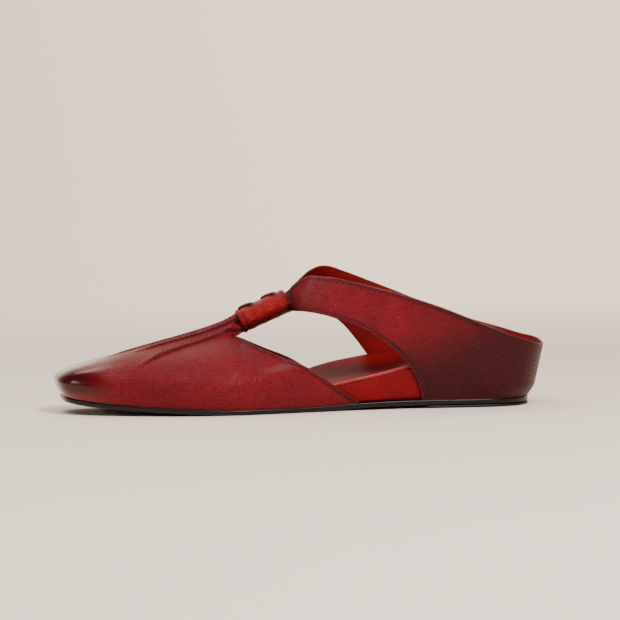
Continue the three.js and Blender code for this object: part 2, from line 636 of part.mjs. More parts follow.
/** Centre line of one thong loop over the keeper, from a hole on its outer side to one on its inner side. */
function thongCurve(along, reach) {
  const top = (y) => (KEEPER_HEIGHT / 2) * (1 - Math.abs((2 * y) / KEEPER_WIDTH) ** 2.5) ** (1 / 2.5);
  const stand = THONG_DIAMETER / 2 + THONG_ARCH;
  const legs = [
    { share: 1, over: -reach },
    { share: 0.97, over: 0.25 * stand },
    { share: 0.72, over: 0.8 * stand },
    { share: 0, over: stand },
    { share: -0.72, over: 0.8 * stand },
    { share: -0.97, over: 0.25 * stand },
    { share: -1, over: -reach },
  ];
  const points = legs.map(({ share, over }) => {
    const y = share * THONG_SPREAD;
    return new THREE.Vector3(along * KEEPER_LENGTH - share * THONG_REACH, y, top(y) + over).applyMatrix4(keeperFrame());
  });
  return new THREE.CatmullRomCurve3(points);
}

/** A round cord along a curve. */
function cordSolid(curve, diameter, steps, sides) {
  const circle = new THREE.Shape(
    Array.from({ length: sides }, (_, i) => {
      const turn = (i / sides) * 2 * Math.PI;
      return new THREE.Vector2((Math.cos(turn) * diameter) / 2, (Math.sin(turn) * diameter) / 2);
    }),
  );
  return solidOf(new THREE.ExtrudeGeometry(circle, { steps, extrudePath: curve, bevelEnabled: false }));
}

/** Outline of the sole in plan, moved inwards by a distance. */
function planOutline(ribs, inset) {
  const points = ribs.map(({ edge }) => edge);
  return points.map((p, i) => {
    const along = points[(i + 1) % points.length].clone().sub(points[(i + points.length - 1) % points.length]);
    return p.clone().addScaledVector(new THREE.Vector2(-along.y, along.x).normalize(), -inset);
  });
}

/** The outsole: a level-edged sheet with its toe spring and arch, bevelled along both edges. */
function outsoleSolid(ribs) {
  const layers = [
    { inset: SOLE_EDGE_BEVEL, over: 0 },
    { inset: 0, over: SOLE_EDGE_BEVEL },
    { inset: 0, over: OUTSOLE_THICKNESS - SOLE_EDGE_BEVEL / 2 },
    { inset: SOLE_EDGE_BEVEL / 2, over: OUTSOLE_THICKNESS },
  ];
  const rings = layers.map(({ inset, over }) =>
    planOutline(ribs, inset).map((p) => {
      const at = THREE.MathUtils.clamp(p.x / SOLE_LENGTH, 0, 1);
      return new THREE.Vector3(p.x, p.y, undersideHeight(at) + over);
    }),
  );
  return solidOf(ringGeometry(rings, true, true));
}

/** The top lift under the heel, with a straight breast. */
function topLiftSolid(ribs) {
  const bevel = SOLE_EDGE_BEVEL / 2;
  const outline = planOutline(ribs, bevel).filter((p) => p.x < TOP_LIFT_LENGTH - bevel);
  const breast = [1, -1].map((sign) => {
    const name = sign > 0 ? "outer" : "inner";
    const x = TOP_LIFT_LENGTH - bevel;
    return new THREE.Vector2(x, sign * (halfWidth[name](x / SOLE_LENGTH) - bevel));
  });
  const lift = new THREE.ExtrudeGeometry(new THREE.Shape([breast[0], ...outline, breast[1]]), {
    depth: TOP_LIFT_THICKNESS - 2 * bevel,
    bevelThickness: bevel,
    bevelSize: bevel,
    bevelSegments: 1,
  });
  return solidOf(lift.translate(0, 0, bevel));
}

/** Top of the wedge: a ramp that is cupped at the heel and raised along the arch. */
function wedgeTop(x, y) {
  const at = THREE.MathUtils.clamp(x / SOLE_LENGTH, 0, 1);
  const name = y > 0 ? "outer" : "inner";
  const out = Math.min(1.15, Math.abs(y) / halfWidth[name](at));
  const inner = y < 0 ? out : 0;
  const shape = footbed.arch(at) * ARCH_RISE * inner ** 1.6 - footbed.cup(at) * HEEL_CUP_DEPTH * (1 - out ** 2);
  return featherHeight(at) + footbed.rise(at) * WEDGE_HEIGHT + shape;
}

const ribs = makeRibs();
const outside = lastRings(ribs);
const inside = insetRings(outside, LEATHER);
const lining = insetRings(outside, LEATHER + GAP);
const below = lining[0].map((p) => new THREE.Vector3(p.x, p.y, p.z - 2 * OUTSOLE_THICKNESS));
const cavity = solidOf(ringGeometry([below, ...lining], true, false));

/** The upper: vamp, tab, strap wings and heel wrap in one hollow wall, with its pleats. */
function upperSolid() {
  const shell = solidOf(ringGeometry([...outside].reverse().concat(inside), false, false));
  const tucks = [
    tuckSolid(CENTRE_TUCK, "outer"),
    ...["outer", "inner"].flatMap((name) => [tuckSolid(INNER_TUCK, name), tuckSolid(OUTER_TUCK, name)]),
  ];
  const cutters = [windowCutter("outer"), windowCutter("inner"), collarCutter()];
  const room = keeperTube(KEEPER_WIDTH + 2 * GAP, KEEPER_HEIGHT + 2 * GAP, KEEPER_LENGTH + 2 * GAP).subtract(
    keeperTube(
      KEEPER_WIDTH - 2 * (KEEPER_WALL + GAP),
      KEEPER_HEIGHT - 2 * (KEEPER_WALL + GAP),
      KEEPER_LENGTH + BEYOND,
    ),
  );
  const pleated = tucks.reduce((body, tuck) => body.add(tuck), shell);
  return mainPiece([...cutters, room].reduce((body, cutter) => body.subtract(cutter), pleated));
}

/** The covered wedge under the heel and arch. */
function wedgeSolid() {
  const ramp = slab((x) => featherHeight(x / SOLE_LENGTH), wedgeTop, BED_START, WEDGE_FRONT, BED_STEP, BED_LANES);
  return mainPiece(cavity.intersect(ramp));
}

/** The insole on the wedge and, in front of it, on the outsole. */
function insoleSolid() {
  const low = (x, y) => wedgeTop(x, y) + GAP;
  const high = (x, y) => low(x, y) + INSOLE_THICKNESS;
  return mainPiece(cavity.intersect(slab(low, high, BED_START, INSOLE_FRONT, BED_STEP, BED_LANES)));
}

/** The rolled keeper, punched for its thongs. */
function keeperSolid() {
  const bore = keeperTube(KEEPER_WIDTH - 2 * KEEPER_WALL, KEEPER_HEIGHT - 2 * KEEPER_WALL, KEEPER_LENGTH + BEYOND);
  const sleeve = keeperTube(KEEPER_WIDTH, KEEPER_HEIGHT, KEEPER_LENGTH).subtract(bore);
  return THONGS.reduce(
    (body, { along }) => body.subtract(cordSolid(thongCurve(along, 2 * KEEPER_WALL), THONG_DIAMETER + 2 * GAP, 20, 7)),
    sleeve,
  );
}

const MATERIALS = {
  sole: new THREE.MeshStandardMaterial({ color: 0x14110f, roughness: 0.35 }),
  wedge: new THREE.MeshStandardMaterial({ color: 0x8f1614, roughness: 0.45 }),
  insole: new THREE.MeshStandardMaterial({ color: 0x86191a, roughness: 0.4 }),
  upper: new THREE.MeshStandardMaterial({ color: 0x8c2622, roughness: 0.42 }),
  thong: new THREE.MeshStandardMaterial({ color: 0x5a1512, roughness: 0.4 }),
};

const shoe = new THREE.Group();

/** Adds one named piece to the shoe. */
function addPiece(name, solid, material) {
  const mesh = new THREE.Mesh(bodyOf(solid), material);
  mesh.name = name;
  shoe.add(mesh);
}

addPiece("outsole", outsoleSolid(ribs), MATERIALS.sole);
addPiece("top_lift", topLiftSolid(ribs), MATERIALS.sole);
addPiece("wedge", wedgeSolid(), MATERIALS.wedge);
addPiece("insole", insoleSolid(), MATERIALS.insole);
addPiece("upper", upperSolid(), MATERIALS.upper);
addPiece("keeper", keeperSolid(), MATERIALS.upper);
for (const { name, along } of THONGS) {
  addPiece(name, cordSolid(thongCurve(along, KEEPER_WALL * 0.8), THONG_DIAMETER, 18, 7), MATERIALS.thong);
}

// Toe to -X, outer side to -Y, origin at the middle of the footprint on the floor.
const slipper = new THREE.Group();
shoe.rotation.z = Math.PI;
slipper.add(shoe);
slipper.updateMatrixWorld(true);
const middle = new THREE.Box3().setFromObject(slipper, true).getCenter(new THREE.Vector3());
shoe.position.set(-middle.x, -middle.y, 0);

export default slipper;
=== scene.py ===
"""Looks of a left-foot leather mule: burnished red upper, rolled keeper, covered wedge and black sole.

The leather pieces are worked out from the same last as the solids: a plan outline, a ridge line and a
table of sections. Lengths are in millimetres in the last's own frame, with x from the heel to the toe,
y towards the outer side and z up from the floor, and are turned to the row frame when a mesh is made.
"""

from __future__ import annotations

import logging
import math
from collections.abc import Callable, Iterable, Sequence
from dataclasses import dataclass, field
from enum import Enum
from functools import cached_property

import bpy
import numpy as np
from mathutils import Matrix, Vector
from mathutils.kdtree import KDTree


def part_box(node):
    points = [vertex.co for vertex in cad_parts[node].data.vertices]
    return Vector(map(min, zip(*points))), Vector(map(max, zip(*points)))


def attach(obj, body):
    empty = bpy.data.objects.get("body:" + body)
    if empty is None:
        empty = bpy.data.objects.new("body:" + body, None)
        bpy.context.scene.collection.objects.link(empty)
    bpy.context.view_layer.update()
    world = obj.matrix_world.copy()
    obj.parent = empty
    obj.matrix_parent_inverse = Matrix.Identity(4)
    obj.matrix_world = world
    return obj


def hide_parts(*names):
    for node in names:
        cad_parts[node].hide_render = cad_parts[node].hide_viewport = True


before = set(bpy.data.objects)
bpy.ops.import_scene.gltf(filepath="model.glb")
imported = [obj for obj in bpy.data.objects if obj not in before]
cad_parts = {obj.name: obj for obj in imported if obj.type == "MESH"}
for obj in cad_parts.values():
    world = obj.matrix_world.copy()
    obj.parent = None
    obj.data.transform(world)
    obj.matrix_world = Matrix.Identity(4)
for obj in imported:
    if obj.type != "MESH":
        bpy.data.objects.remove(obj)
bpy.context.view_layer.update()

log = logging.getLogger("mule")

Array = np.ndarray
Face = tuple[int, ...]
HeightOf = Callable[[Array, Array], Array]

MM = 0.001
SOLE_LENGTH = 250.0
BALL_WIDTH = 79.0
TOE_WIDTH = 40.0
TOE_SLANT = 4.0
TOE_SPRING = 6.9
OUTSOLE_THICKNESS = 2.6
TOP_LIFT_THICKNESS = 1.4
TOP_LIFT_LENGTH = 60.0
WEDGE_HEIGHT = 23.0
INSOLE_THICKNESS = 2.0
ARCH_RISE = 6.5
ARCH_CURVE = 1.6
HEEL_CUP = 1.6
LEATHER = 1.6
SKIVED_EDGE = 1.0
SKIVED_WIDTH = 4.0
TOE_HEIGHT = 21.5
CONE_HEIGHT = 90.0
OUTER_COLLAR_HEIGHT = 68.2
INNER_COLLAR_HEIGHT = 73.8
HEEL_SWELL = 2.3
HEEL_LEAN = 0.24
BELLY = 2.6
BELLY_HEIGHT = 16.0
BELLY_ROUNDNESS = 0.8
KEEPER_LENGTH = 27.5
KEEPER_WIDTH = 17.0
KEEPER_HEIGHT = 12.2
KEEPER_WALL = 1.4
KEEPER_SQUARENESS = 2.5
KEEPER_AXIS_HEIGHT = 50.5
KEEPER_SLOPE = math.radians(23.5)
TAB_CREST = 9.4
GAP = 0.3

HEEL_CENTRE = 0.12
TOE_CENTRE = 0.9
HEEL_END = 0.01
TOE_END = 0.994
WEDGE_FRONT = 0.6
INSOLE_FRONT = 0.985
KEEPER_MIDDLE = 0.5645
COLLAR_BLEND = 16.0
PLAN_SQUARE_TOE = 4.2
PLAN_ROUND_HEEL = 2.25

TAN_SLOPE = math.tan(KEEPER_SLOPE)
COS_SLOPE = math.cos(KEEPER_SLOPE)
SIN_SLOPE = math.sin(KEEPER_SLOPE)
KEEPER_X = KEEPER_MIDDLE * SOLE_LENGTH
KEEPER_FRONT = (KEEPER_X + KEEPER_LENGTH / 2 * COS_SLOPE) / SOLE_LENGTH
KEEPER_REAR = (KEEPER_X - KEEPER_LENGTH / 2 * COS_SLOPE) / SOLE_LENGTH
TAB_ROOM = (KEEPER_HEIGHT / 2 - KEEPER_WALL - GAP) / COS_SLOPE
TAB_FOLD = KEEPER_WIDTH * 0.53

# Where the tab is drawn in to clear the keeper's wall: by how much, over which run before and behind the
# keeper, and from which heights under the keeper's axis.
GATHER_SHARE = 0.22
GATHER_RUN = 7.0 / SOLE_LENGTH
GATHER_HEIGHTS = (-9.0, -6.0)

# Counts of the upper's ribs (along each side, half heel, half toe) and of the points up each rib.
FULL_RIBS = (230, 42, 38)
FULL_ROWS = 112
BOTTOM_RIBS = (150, 26, 26)
RIB_STEPS = 260
LANES = 18
WINDOW_STEPS = 60
FAR_BELOW = -100.0

# Stitching, and how the leather sinks under it.
STITCH_INSET = 1.7
SEAM_DEPTH = 0.16
SEAM_WIDTH = 0.4
STITCH_OVER_SOLE = 2.5

# Pleats: how far each takes to rise and to die away, as shares of the sole length, and its section in
# millimetres across its line: the crest, the fall of the free edge, and the dent in front of it.
TUCK_RISE = 0.03
TUCK_END = 0.06
TUCK_CREST = -0.4
TUCK_FALL = (-0.1, 0.75)
TUCK_DENT = 0.25
TUCK_DENT_BAND = (1.0, 0.6)
TUCK_GROOVE_BAND = (0.6, 0.5)
TUCK_STITCH_INSET = 1.3
TUCK_STITCH_STEPS = 60

# Creases: what their depths are multiplied by, how much their lines bow, and where they begin beside the
# ridge.
CREASE_GAIN = 1.7
CREASE_BOW = 0.012
CREASE_BESIDE_RIDGE = (2.0, 6.0)

# Darkening of the upper's colour, with where each part fades, as shares of the sole length or as
# millimetres over the sole's edge: burnish at the toe, on the forepart and along the edges; painted shade
# on the toe's sides below its lit top, on the heel and low on the quarter, each partly burnish too, at
# the keeper's mouth and in the pleats' grooves; and darker towards the sole.
TOE_DARK, TOE_FADE, TOE_RISE = 0.8, (0.85, 0.98), (1.5, 5.5)
TOE_TOP_LIGHTER, TOE_TOP = 0.55, (12.0, 16.0)
FOREPART_DARK, FOREPART_FADE = 0.1, (0.8, 0.93)
HEEL_BANDS = ((0.42, (0.0, 0.24)), (0.26, (0.12, 0.34)))
FEATHER_DARK, FEATHER_RISE = 0.12, (0.5, 11.0)
QUARTER_DARK, QUARTER_FADE, QUARTER_RISE = 0.66, (0.26, 0.44), (8.0, 44.0)
RIM_DARK, RIM_BAND = 0.5, (1.1, 0.6)
RIM_SOFT_DARK, RIM_SOFT_REACH = 0.16, 3.5
MOUTH_DARK, MOUTH_BAND, MOUTH_RISE = 0.6, (KEEPER_REAR - 0.004, 0.009), (38.0, 44.0)
GROOVE_DARK = 0.85
POLISH_FADE = (0.84, 0.97)


def axis_height(at: float) -> float:
    """Height of the keeper's axis at a share of the sole length."""
    return KEEPER_AXIS_HEIGHT + (KEEPER_X - at * SOLE_LENGTH) * TAN_SLOPE


def tab_top(at: float) -> float:
    """Top of the tab where it passes through the keeper."""
    return axis_height(at) + TAB_ROOM


def smooth(value: Array, low: float, high: float) -> Array:
    """Smooth step from 0 at low to 1 at high."""
    t = np.clip((np.asarray(value, float) - low) / (high - low), 0.0, 1.0)
    return t * t * (3.0 - 2.0 * t)


def bell(value: Array, middle: float, width: float) -> Array:
    """Bell curve with height 1 at its middle."""
    return np.exp(-(((value - middle) / width) ** 2))


def share_of(x: Array) -> Array:
    """Share of the sole length, held between the sole's ends."""
    return np.clip(x / SOLE_LENGTH, 0, 1)


def eased_line(values: Array, passes: int) -> None:
    """Rounds off an open line in place, with its two ends held."""
    for _ in range(passes):
        values[1:-1] = (values[:-2] + 2 * values[1:-1] + values[2:]) / 4


class Table:
    """A short table whose columns are read as smooth curves over its first column."""

    def __init__(self, columns: Sequence[str], rows: Sequence[Sequence[float]]) -> None:
        """Stores the rows in order of their first column.

        Args:
            columns: names of the columns, the first being the share of the sole length.
            rows: one row for each station.
        """
        ordered = np.array(sorted(rows), float)
        self.at = ordered[:, 0]
        self.values = {name: ordered[:, i] for i, name in enumerate(columns)}
        self.slopes = {name: self._slopes(ordered[:, i]) for i, name in enumerate(columns)}

    def _slopes(self, ys: Array) -> Array:
        """Slopes that let no curve overshoot its rows."""
        rise = np.diff(ys) / np.diff(self.at)
        slopes = np.zeros(len(ys))
        before, after = rise[:-1], rise[1:]
        same = before * after > 0
        safe = np.where(same, before + after, 1.0)
        slopes[1:-1] = np.where(same, 2 * before * after / safe, 0.0)
        return slopes

    def curve(self, name: str, at: Array) -> Array:
        """A column's value at shares of the sole length, held at the table's ends."""
        xs, ys, slopes = self.at, self.values[name], self.slopes[name]
        at = np.clip(np.asarray(at, float), xs[0], xs[-1])
        i = np.clip(np.searchsorted(xs, at, side="right") - 1, 0, len(xs) - 2)
        span = xs[i + 1] - xs[i]
        t = (at - xs[i]) / span
        start = ys[i] * (1 + 2 * t) + slopes[i] * span * t
        end = ys[i + 1] * (3 - 2 * t) - slopes[i + 1] * span * (1 - t)
        return start * (1 - t) ** 2 + end * t**2


# Half widths of the sole's edge on each side.
OUTLINE = Table(
    ("at", "outer", "inner"),
    (
        (HEEL_CENTRE, 26.5, 26.5), (0.24, 25.41, 24.41), (0.36, 27.01, 21.49), (0.46, 31.03, 24.98),
        (0.56, 36.48, 32.48), (0.64, 39.51, 37.51), (0.69, 39.5, 39.5), (0.76, 37.01, 39.46),
        (0.832, 31.49, 36.53), (TOE_CENTRE, 24.97, 31.52), (1.0, 15.6, 24.4),
    ),
)
# Shares of the top lift's and the toe spring's height under the outsole.
UNDERSIDE = Table(
    ("at", "lift", "spring"),
    (
        (0.0, 1, 0), (0.28, 1, 0), (0.37, 0.75, 0), (0.46, 0.2, 0), (0.52, 0, 0), (0.62, 0, 0),
        (0.7, 0, 0.1), (0.8, 0, 0.29), (0.9, 0, 0.55), (0.95, 0, 0.75), (1.0, 0, 1),
    ),
)
# Shares of the wedge's height, the arch's rise and the heel cup's depth.
FOOTBED = Table(
    ("at", "rise", "arch", "cup"),
    (
        (0.0, 1, 0, 1), (0.08, 0.99, 0, 1), (0.14, 0.945, 0.05, 1), (0.2, 0.855, 0.25, 0.9),
        (0.26, 0.755, 0.65, 0.6), (0.31, 0.605, 0.92, 0.4), (0.36, 0.5, 1, 0.3), (0.42, 0.4, 1, 0.3),
        (0.48, 0.282, 0.88, 0.2), (0.52, 0.195, 0.6, 0), (0.56, 0.114, 0.25, 0), (0.6, 0.059, 0, 0),
        (0.66, 0, 0, 0), (1.0, 0, 0, 0),
    ),
)
FRONT_TOP = tab_top(KEEPER_FRONT)
# Sections of the last: height of its ridge, height and half width of the tab's crest, squareness of its
# shoulders, swell of its belly, that belly's height and the heel's lean.
SECTIONS = Table(
    ("at", "ridge", "crest", "fold", "square", "swell", "high", "lean"),
    (
        (0.0, CONE_HEIGHT, 0, TAB_FOLD, 3.6, HEEL_SWELL, 0.13, 1),
        (0.03, CONE_HEIGHT, 0, TAB_FOLD, 3.6, HEEL_SWELL, 0.2, 0.9),
        (HEEL_CENTRE, CONE_HEIGHT, 0, TAB_FOLD, 3.6, HEEL_SWELL, 0.7, 0.25),
        (0.24, CONE_HEIGHT, 0, TAB_FOLD, 3.4, HEEL_SWELL * 1.4, 2.1, 0),
        (0.34, CONE_HEIGHT, 0, TAB_FOLD, 3.0, HEEL_SWELL * 1.25, 1.9, 0),
        (0.4, CONE_HEIGHT * 0.945, 0, TAB_FOLD, 2.5, BELLY * 1.2, 1.5, 0),
        (0.44, CONE_HEIGHT * 0.86, TAB_CREST * 0.1, TAB_FOLD, 2.2, BELLY, 1.25, 0),
        (0.472, CONE_HEIGHT * 0.8, TAB_CREST * 0.4, TAB_FOLD * 1.1, 2.1, BELLY * 0.8, 1.1, 0),
        (0.492, CONE_HEIGHT * 0.748, TAB_CREST * 0.72, TAB_FOLD * 1.05, 2.0, BELLY * 0.8, 1.05, 0),
        (KEEPER_REAR, tab_top(KEEPER_REAR), TAB_CREST, TAB_FOLD, 2.0, BELLY * 0.8, 1, 0),
        (KEEPER_MIDDLE, tab_top(KEEPER_MIDDLE), TAB_CREST, TAB_FOLD, 2.0, BELLY * 0.8, 1, 0),
        (KEEPER_FRONT, FRONT_TOP, TAB_CREST, TAB_FOLD * 1.05, 2.0, BELLY, 1, 0),
        (0.65, FRONT_TOP * 0.91, TAB_CREST * 0.66, TAB_FOLD * 1.5, 2.05, BELLY, 0.94, 0),
        (0.7, FRONT_TOP * 0.825, TAB_CREST * 0.4, TAB_FOLD * 1.9, 2.15, BELLY, 0.88, 0),
        (0.8, FRONT_TOP * 0.69, TAB_CREST * 0.14, TAB_FOLD * 2.5, 2.5, BELLY * 0.85, 0.75, 0),
        (0.868, TOE_HEIGHT * 1.385, 0, TAB_FOLD * 2.5, 3.0, BELLY * 0.75, 0.62, 0),
        (0.912, TOE_HEIGHT * 1.255, 0, TAB_FOLD * 2.5, 3.6, BELLY * 0.8, 0.58, 0),
        (0.96, TOE_HEIGHT * 1.115, 0, TAB_FOLD * 2.5, 4.8, BELLY * 1.15, 0.56, 0),
        (1.0, TOE_HEIGHT, 0, TAB_FOLD * 2.5, 6.5, BELLY * 1.4, 0.56, 0),
    ),
)
RIDGE = Table(("at", "shift"), ((0.0, 0), (0.3, 0.01), (0.5, 0.035), (0.75, 0.045), (1.0, 0.055)))
# The collar's line from the keeper to the back of the heel, as shares of each side's collar height.
COLLAR = {
    "outer": Table(
        ("at", "height"),
        (
            (0.512, 0.93), (0.5, 0.945), (0.486, 0.968), (0.472, 0.986), (0.455, 0.998), (0.438, 0.997),
            (0.418, 0.984), (0.386, 0.956), (0.354, 0.924), (0.306, 0.876), (0.21, 0.757), (0.145, 0.658),
            (0.1, 0.588), (0.053, 0.522), (-0.036, 0.446),
        ),
    ),
    "inner": Table(
        ("at", "height"),
        (
            (0.512, 0.842), (0.5, 0.865), (0.482, 0.925), (0.464, 0.98), (0.445, 1), (0.425, 0.993),
            (0.39, 0.955), (0.33, 0.876), (0.265, 0.788), (0.157, 0.638), (0.053, 0.528), (-0.036, 0.452),
        ),
    ),
}
# Window outlines in the side view, from the strap's start behind the keeper down to the sole, then the
# vamp's rear edge from the sole up to the throat. Heights are shares of the outer collar's height.
STRAP_EDGE = {
    "outer": (
        (0.49, 0.755), (0.469, 0.744), (0.423, 0.697), (0.38, 0.638), (0.334, 0.532), (0.291, 0.395),
        (0.266, 0.272), (0.252, 0.146), (0.249, 0.07),
    ),
    "inner": (
        (0.49, 0.765), (0.462, 0.748), (0.418, 0.706), (0.388, 0.63), (0.364, 0.53), (0.335, 0.385),
        (0.309, 0.24), (0.29, 0.07),
    ),
}
VAMP_EDGE = ((0.384, 0.066), (0.427, 0.167), (0.462, 0.262), (0.495, 0.341), (0.56, 0.446), (0.63, 0.563))


class Side(Enum):
    """The two sides of the shoe, with the sign of y that each has."""

    OUTER = 1
    INNER = -1

    @property
    def key(self) -> str:
        """Name of the side's column in the tables."""
        return self.name.lower()


@dataclass(frozen=True)
class Tuck:
    """One stitched pleat of the vamp, from the keeper forwards.

    `at` and `across` give its line, as shares of the sole length and millimetres from the ridge line;
    `free_edge` is the sign of y towards which its folded edge faces.
    """

    at: tuple[float, ...]
    across: tuple[float, ...]
    height: float
    width: float
    free_edge: int

    def off_ridge(self, at: Array) -> Array:
        """Distance of the pleat's line from the ridge line."""
        return Table(("at", "v"), list(zip(self.at, self.across))).curve("v", at)


TUCKS = (
    Tuck((0.615, 0.66, 0.722, 0.77, 0.845), (5.6, 10.0, 17.2, 22.6, 30.5), 1.1, 4.0, 1),
    Tuck((0.615, 0.66, 0.708, 0.79, 0.85), (2.9, 4.7, 7.0, 10.2, 12.6), 0.9, 3.4, 1),
    Tuck((0.615, 0.70, 0.80, 0.91), (-0.2, -0.4, -0.6, -0.8), 0.7, 2.6, -1),
    Tuck((0.615, 0.66, 0.708, 0.79, 0.85), (-3.3, -5.3, -8.0, -11.6, -14.0), 0.9, 3.4, -1),
    Tuck((0.615, 0.66, 0.722, 0.77, 0.845), (-5.8, -10.4, -17.8, -23.2, -31.0), 1.1, 4.0, -1),
)


@dataclass(frozen=True)
class Crease:
    """A soft trough or ridge of worn leather, by its place in the side view.

    `at` is a share of the sole length, `lean` turns its line from upright in degrees, and the rest is
    in millimetres.
    """

    at: float
    height: float
    half: float
    lean: float
    width: float
    depth: float


CREASES = {
    Side.OUTER: (
        Crease(0.900, 13.0, 3.6, 10.0, 0.75, -0.16), Crease(0.890, 12.0, 4.4, 4.0, 0.70, -0.20),
        Crease(0.881, 13.5, 4.2, 8.0, 0.80, -0.18), Crease(0.869, 12.5, 5.0, 0.0, 0.75, -0.24),
        Crease(0.861, 13.5, 4.4, -4.0, 0.70, 0.14), Crease(0.852, 13.0, 5.4, 3.0, 0.80, -0.26),
        Crease(0.841, 13.5, 4.8, -3.0, 0.75, -0.20), Crease(0.831, 12.5, 5.2, 2.0, 0.85, -0.24),
        Crease(0.820, 13.0, 4.6, -5.0, 0.80, -0.20), Crease(0.806, 14.0, 5.0, -2.0, 0.90, -0.18),
        Crease(0.792, 13.0, 4.0, -8.0, 0.90, -0.14), Crease(0.705, 13.0, 6.0, -26.0, 1.60, -0.22),
        Crease(0.690, 12.0, 5.0, -20.0, 1.40, -0.18), Crease(0.640, 17.0, 6.0, -18.0, 1.10, -0.20),
        Crease(0.622, 17.5, 6.4, -12.0, 1.00, -0.24), Crease(0.607, 17.0, 6.6, -8.0, 0.95, -0.28),
        Crease(0.593, 18.0, 6.0, -4.0, 0.90, -0.26), Crease(0.580, 16.5, 6.4, 2.0, 0.95, -0.28),
        Crease(0.567, 16.0, 5.6, 6.0, 0.90, -0.24), Crease(0.553, 15.5, 5.2, 10.0, 0.95, -0.22),
        Crease(0.538, 14.5, 4.6, 14.0, 0.90, -0.18), Crease(0.655, 24.0, 9.0, 66.0, 2.20, 0.20),
        Crease(0.700, 25.0, 11.0, 58.0, 2.40, 0.18), Crease(0.760, 19.0, 8.0, 62.0, 2.20, 0.16),
        Crease(0.420, 50.0, 8.0, -40.0, 1.80, -0.20), Crease(0.400, 54.0, 8.0, -48.0, 1.80, 0.16),
        Crease(0.452, 54.0, 5.0, -30.0, 1.30, -0.22),
    ),
    Side.INNER: (
        Crease(0.845, 13.0, 5.0, 4.0, 0.85, -0.22), Crease(0.828, 13.5, 5.4, 0.0, 0.90, -0.24),
        Crease(0.811, 13.0, 5.0, -4.0, 0.90, -0.22), Crease(0.795, 13.5, 4.4, -6.0, 0.90, -0.18),
        Crease(0.625, 17.0, 6.2, -12.0, 1.10, -0.24), Crease(0.605, 17.0, 6.4, -6.0, 1.00, -0.26),
        Crease(0.585, 17.0, 6.0, 0.0, 1.00, -0.26), Crease(0.562, 16.0, 5.4, 8.0, 1.00, -0.22),
        Crease(0.430, 53.0, 7.0, -38.0, 1.70, -0.20),
    ),
}


def underside(at: Array) -> Array:
    """Height of the outsole's underside."""
    lift = UNDERSIDE.curve("lift", at) * (TOP_LIFT_THICKNESS + GAP)
    return lift + UNDERSIDE.curve("spring", at) * TOE_SPRING


def feather(at: Array) -> Array:
    """Height where the upper, wedge and insole begin, just clear of the outsole."""
    return underside(at) + OUTSOLE_THICKNESS + GAP


def ridge_y(at: Array) -> Array:
    """y of the ridge line in plan."""
    return -RIDGE.curve("shift", at) * BALL_WIDTH


def half_width(side: Side, at: float) -> float:
    """y of the sole's edge on a side."""
    return side.value * float(OUTLINE.curve(side.key, at))


ORIGIN_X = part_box("outsole")[1].x / MM + HEEL_END * SOLE_LENGTH
ORIGIN_Y = (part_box("keeper")[0].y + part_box("keeper")[1].y) / 2 / MM + float(ridge_y(KEEPER_MIDDLE))


def footbed_top(x: Array, y: Array) -> Array:
    """Top of the wedge: a ramp, cupped at the heel and raised along the inner arch."""
    beyond_edge = 1.15
    at = share_of(x)
    half = np.where(y > 0, OUTLINE.curve("outer", at), OUTLINE.curve("inner", at))
    out = np.minimum(beyond_edge, np.abs(y) / half)
    inner = np.where(y < 0, out, 0.0)
    arch = FOOTBED.curve("arch", at) * ARCH_RISE * inner**ARCH_CURVE
    cup = FOOTBED.curve("cup", at) * HEEL_CUP * (1 - out**2)
    return feather(at) + FOOTBED.curve("rise", at) * WEDGE_HEIGHT + arch - cup


@dataclass
class Ribs:
    """The ribs of the last in order round the shoe: sole-edge and ridge ends in plan."""

    edge: Array
    spine: Array

    @property
    def at(self) -> Array:
        """Share of the sole length at each rib's foot."""
        return share_of(self.edge[:, 0])


def side_ribs(side: Side, stations: int, heel_ribs: int, toe_ribs: int) -> list[tuple[float, float, float]]:
    """One side's ribs from the toe back to the heel: x and y of the sole's edge, share of the ridge end."""
    rows = []
    middle = float(ridge_y(TOE_CENTRE))
    for i in range(toe_ribs, 0, -1):
        turn = i / (toe_ribs + 1) * math.pi / 2
        reach = math.sin(turn) ** (2 / PLAN_SQUARE_TOE)
        at = TOE_CENTRE + (TOE_END - TOE_CENTRE) * reach
        y = middle + (half_width(side, at) - middle) * math.cos(turn) ** (2 / PLAN_SQUARE_TOE)
        slant = TOE_SLANT * reach / 2 * (1 + 2 * (y - middle) / TOE_WIDTH)
        rows.append((at * SOLE_LENGTH - max(0.0, slant), y, TOE_CENTRE))
    for i in range(stations, -1, -1):
        at = HEEL_CENTRE + (TOE_CENTRE - HEEL_CENTRE) * i / stations
        rows.append((at * SOLE_LENGTH, half_width(side, at), at))
    for i in range(1, heel_ribs + 1):
        turn = i / (heel_ribs + 1) * math.pi / 2
        at = HEEL_CENTRE + (HEEL_END - HEEL_CENTRE) * math.sin(turn) ** (2 / PLAN_ROUND_HEEL)
        y = half_width(side, HEEL_CENTRE) * math.cos(turn) ** (2 / PLAN_ROUND_HEEL)
        rows.append((at * SOLE_LENGTH, y, HEEL_CENTRE))
    return rows


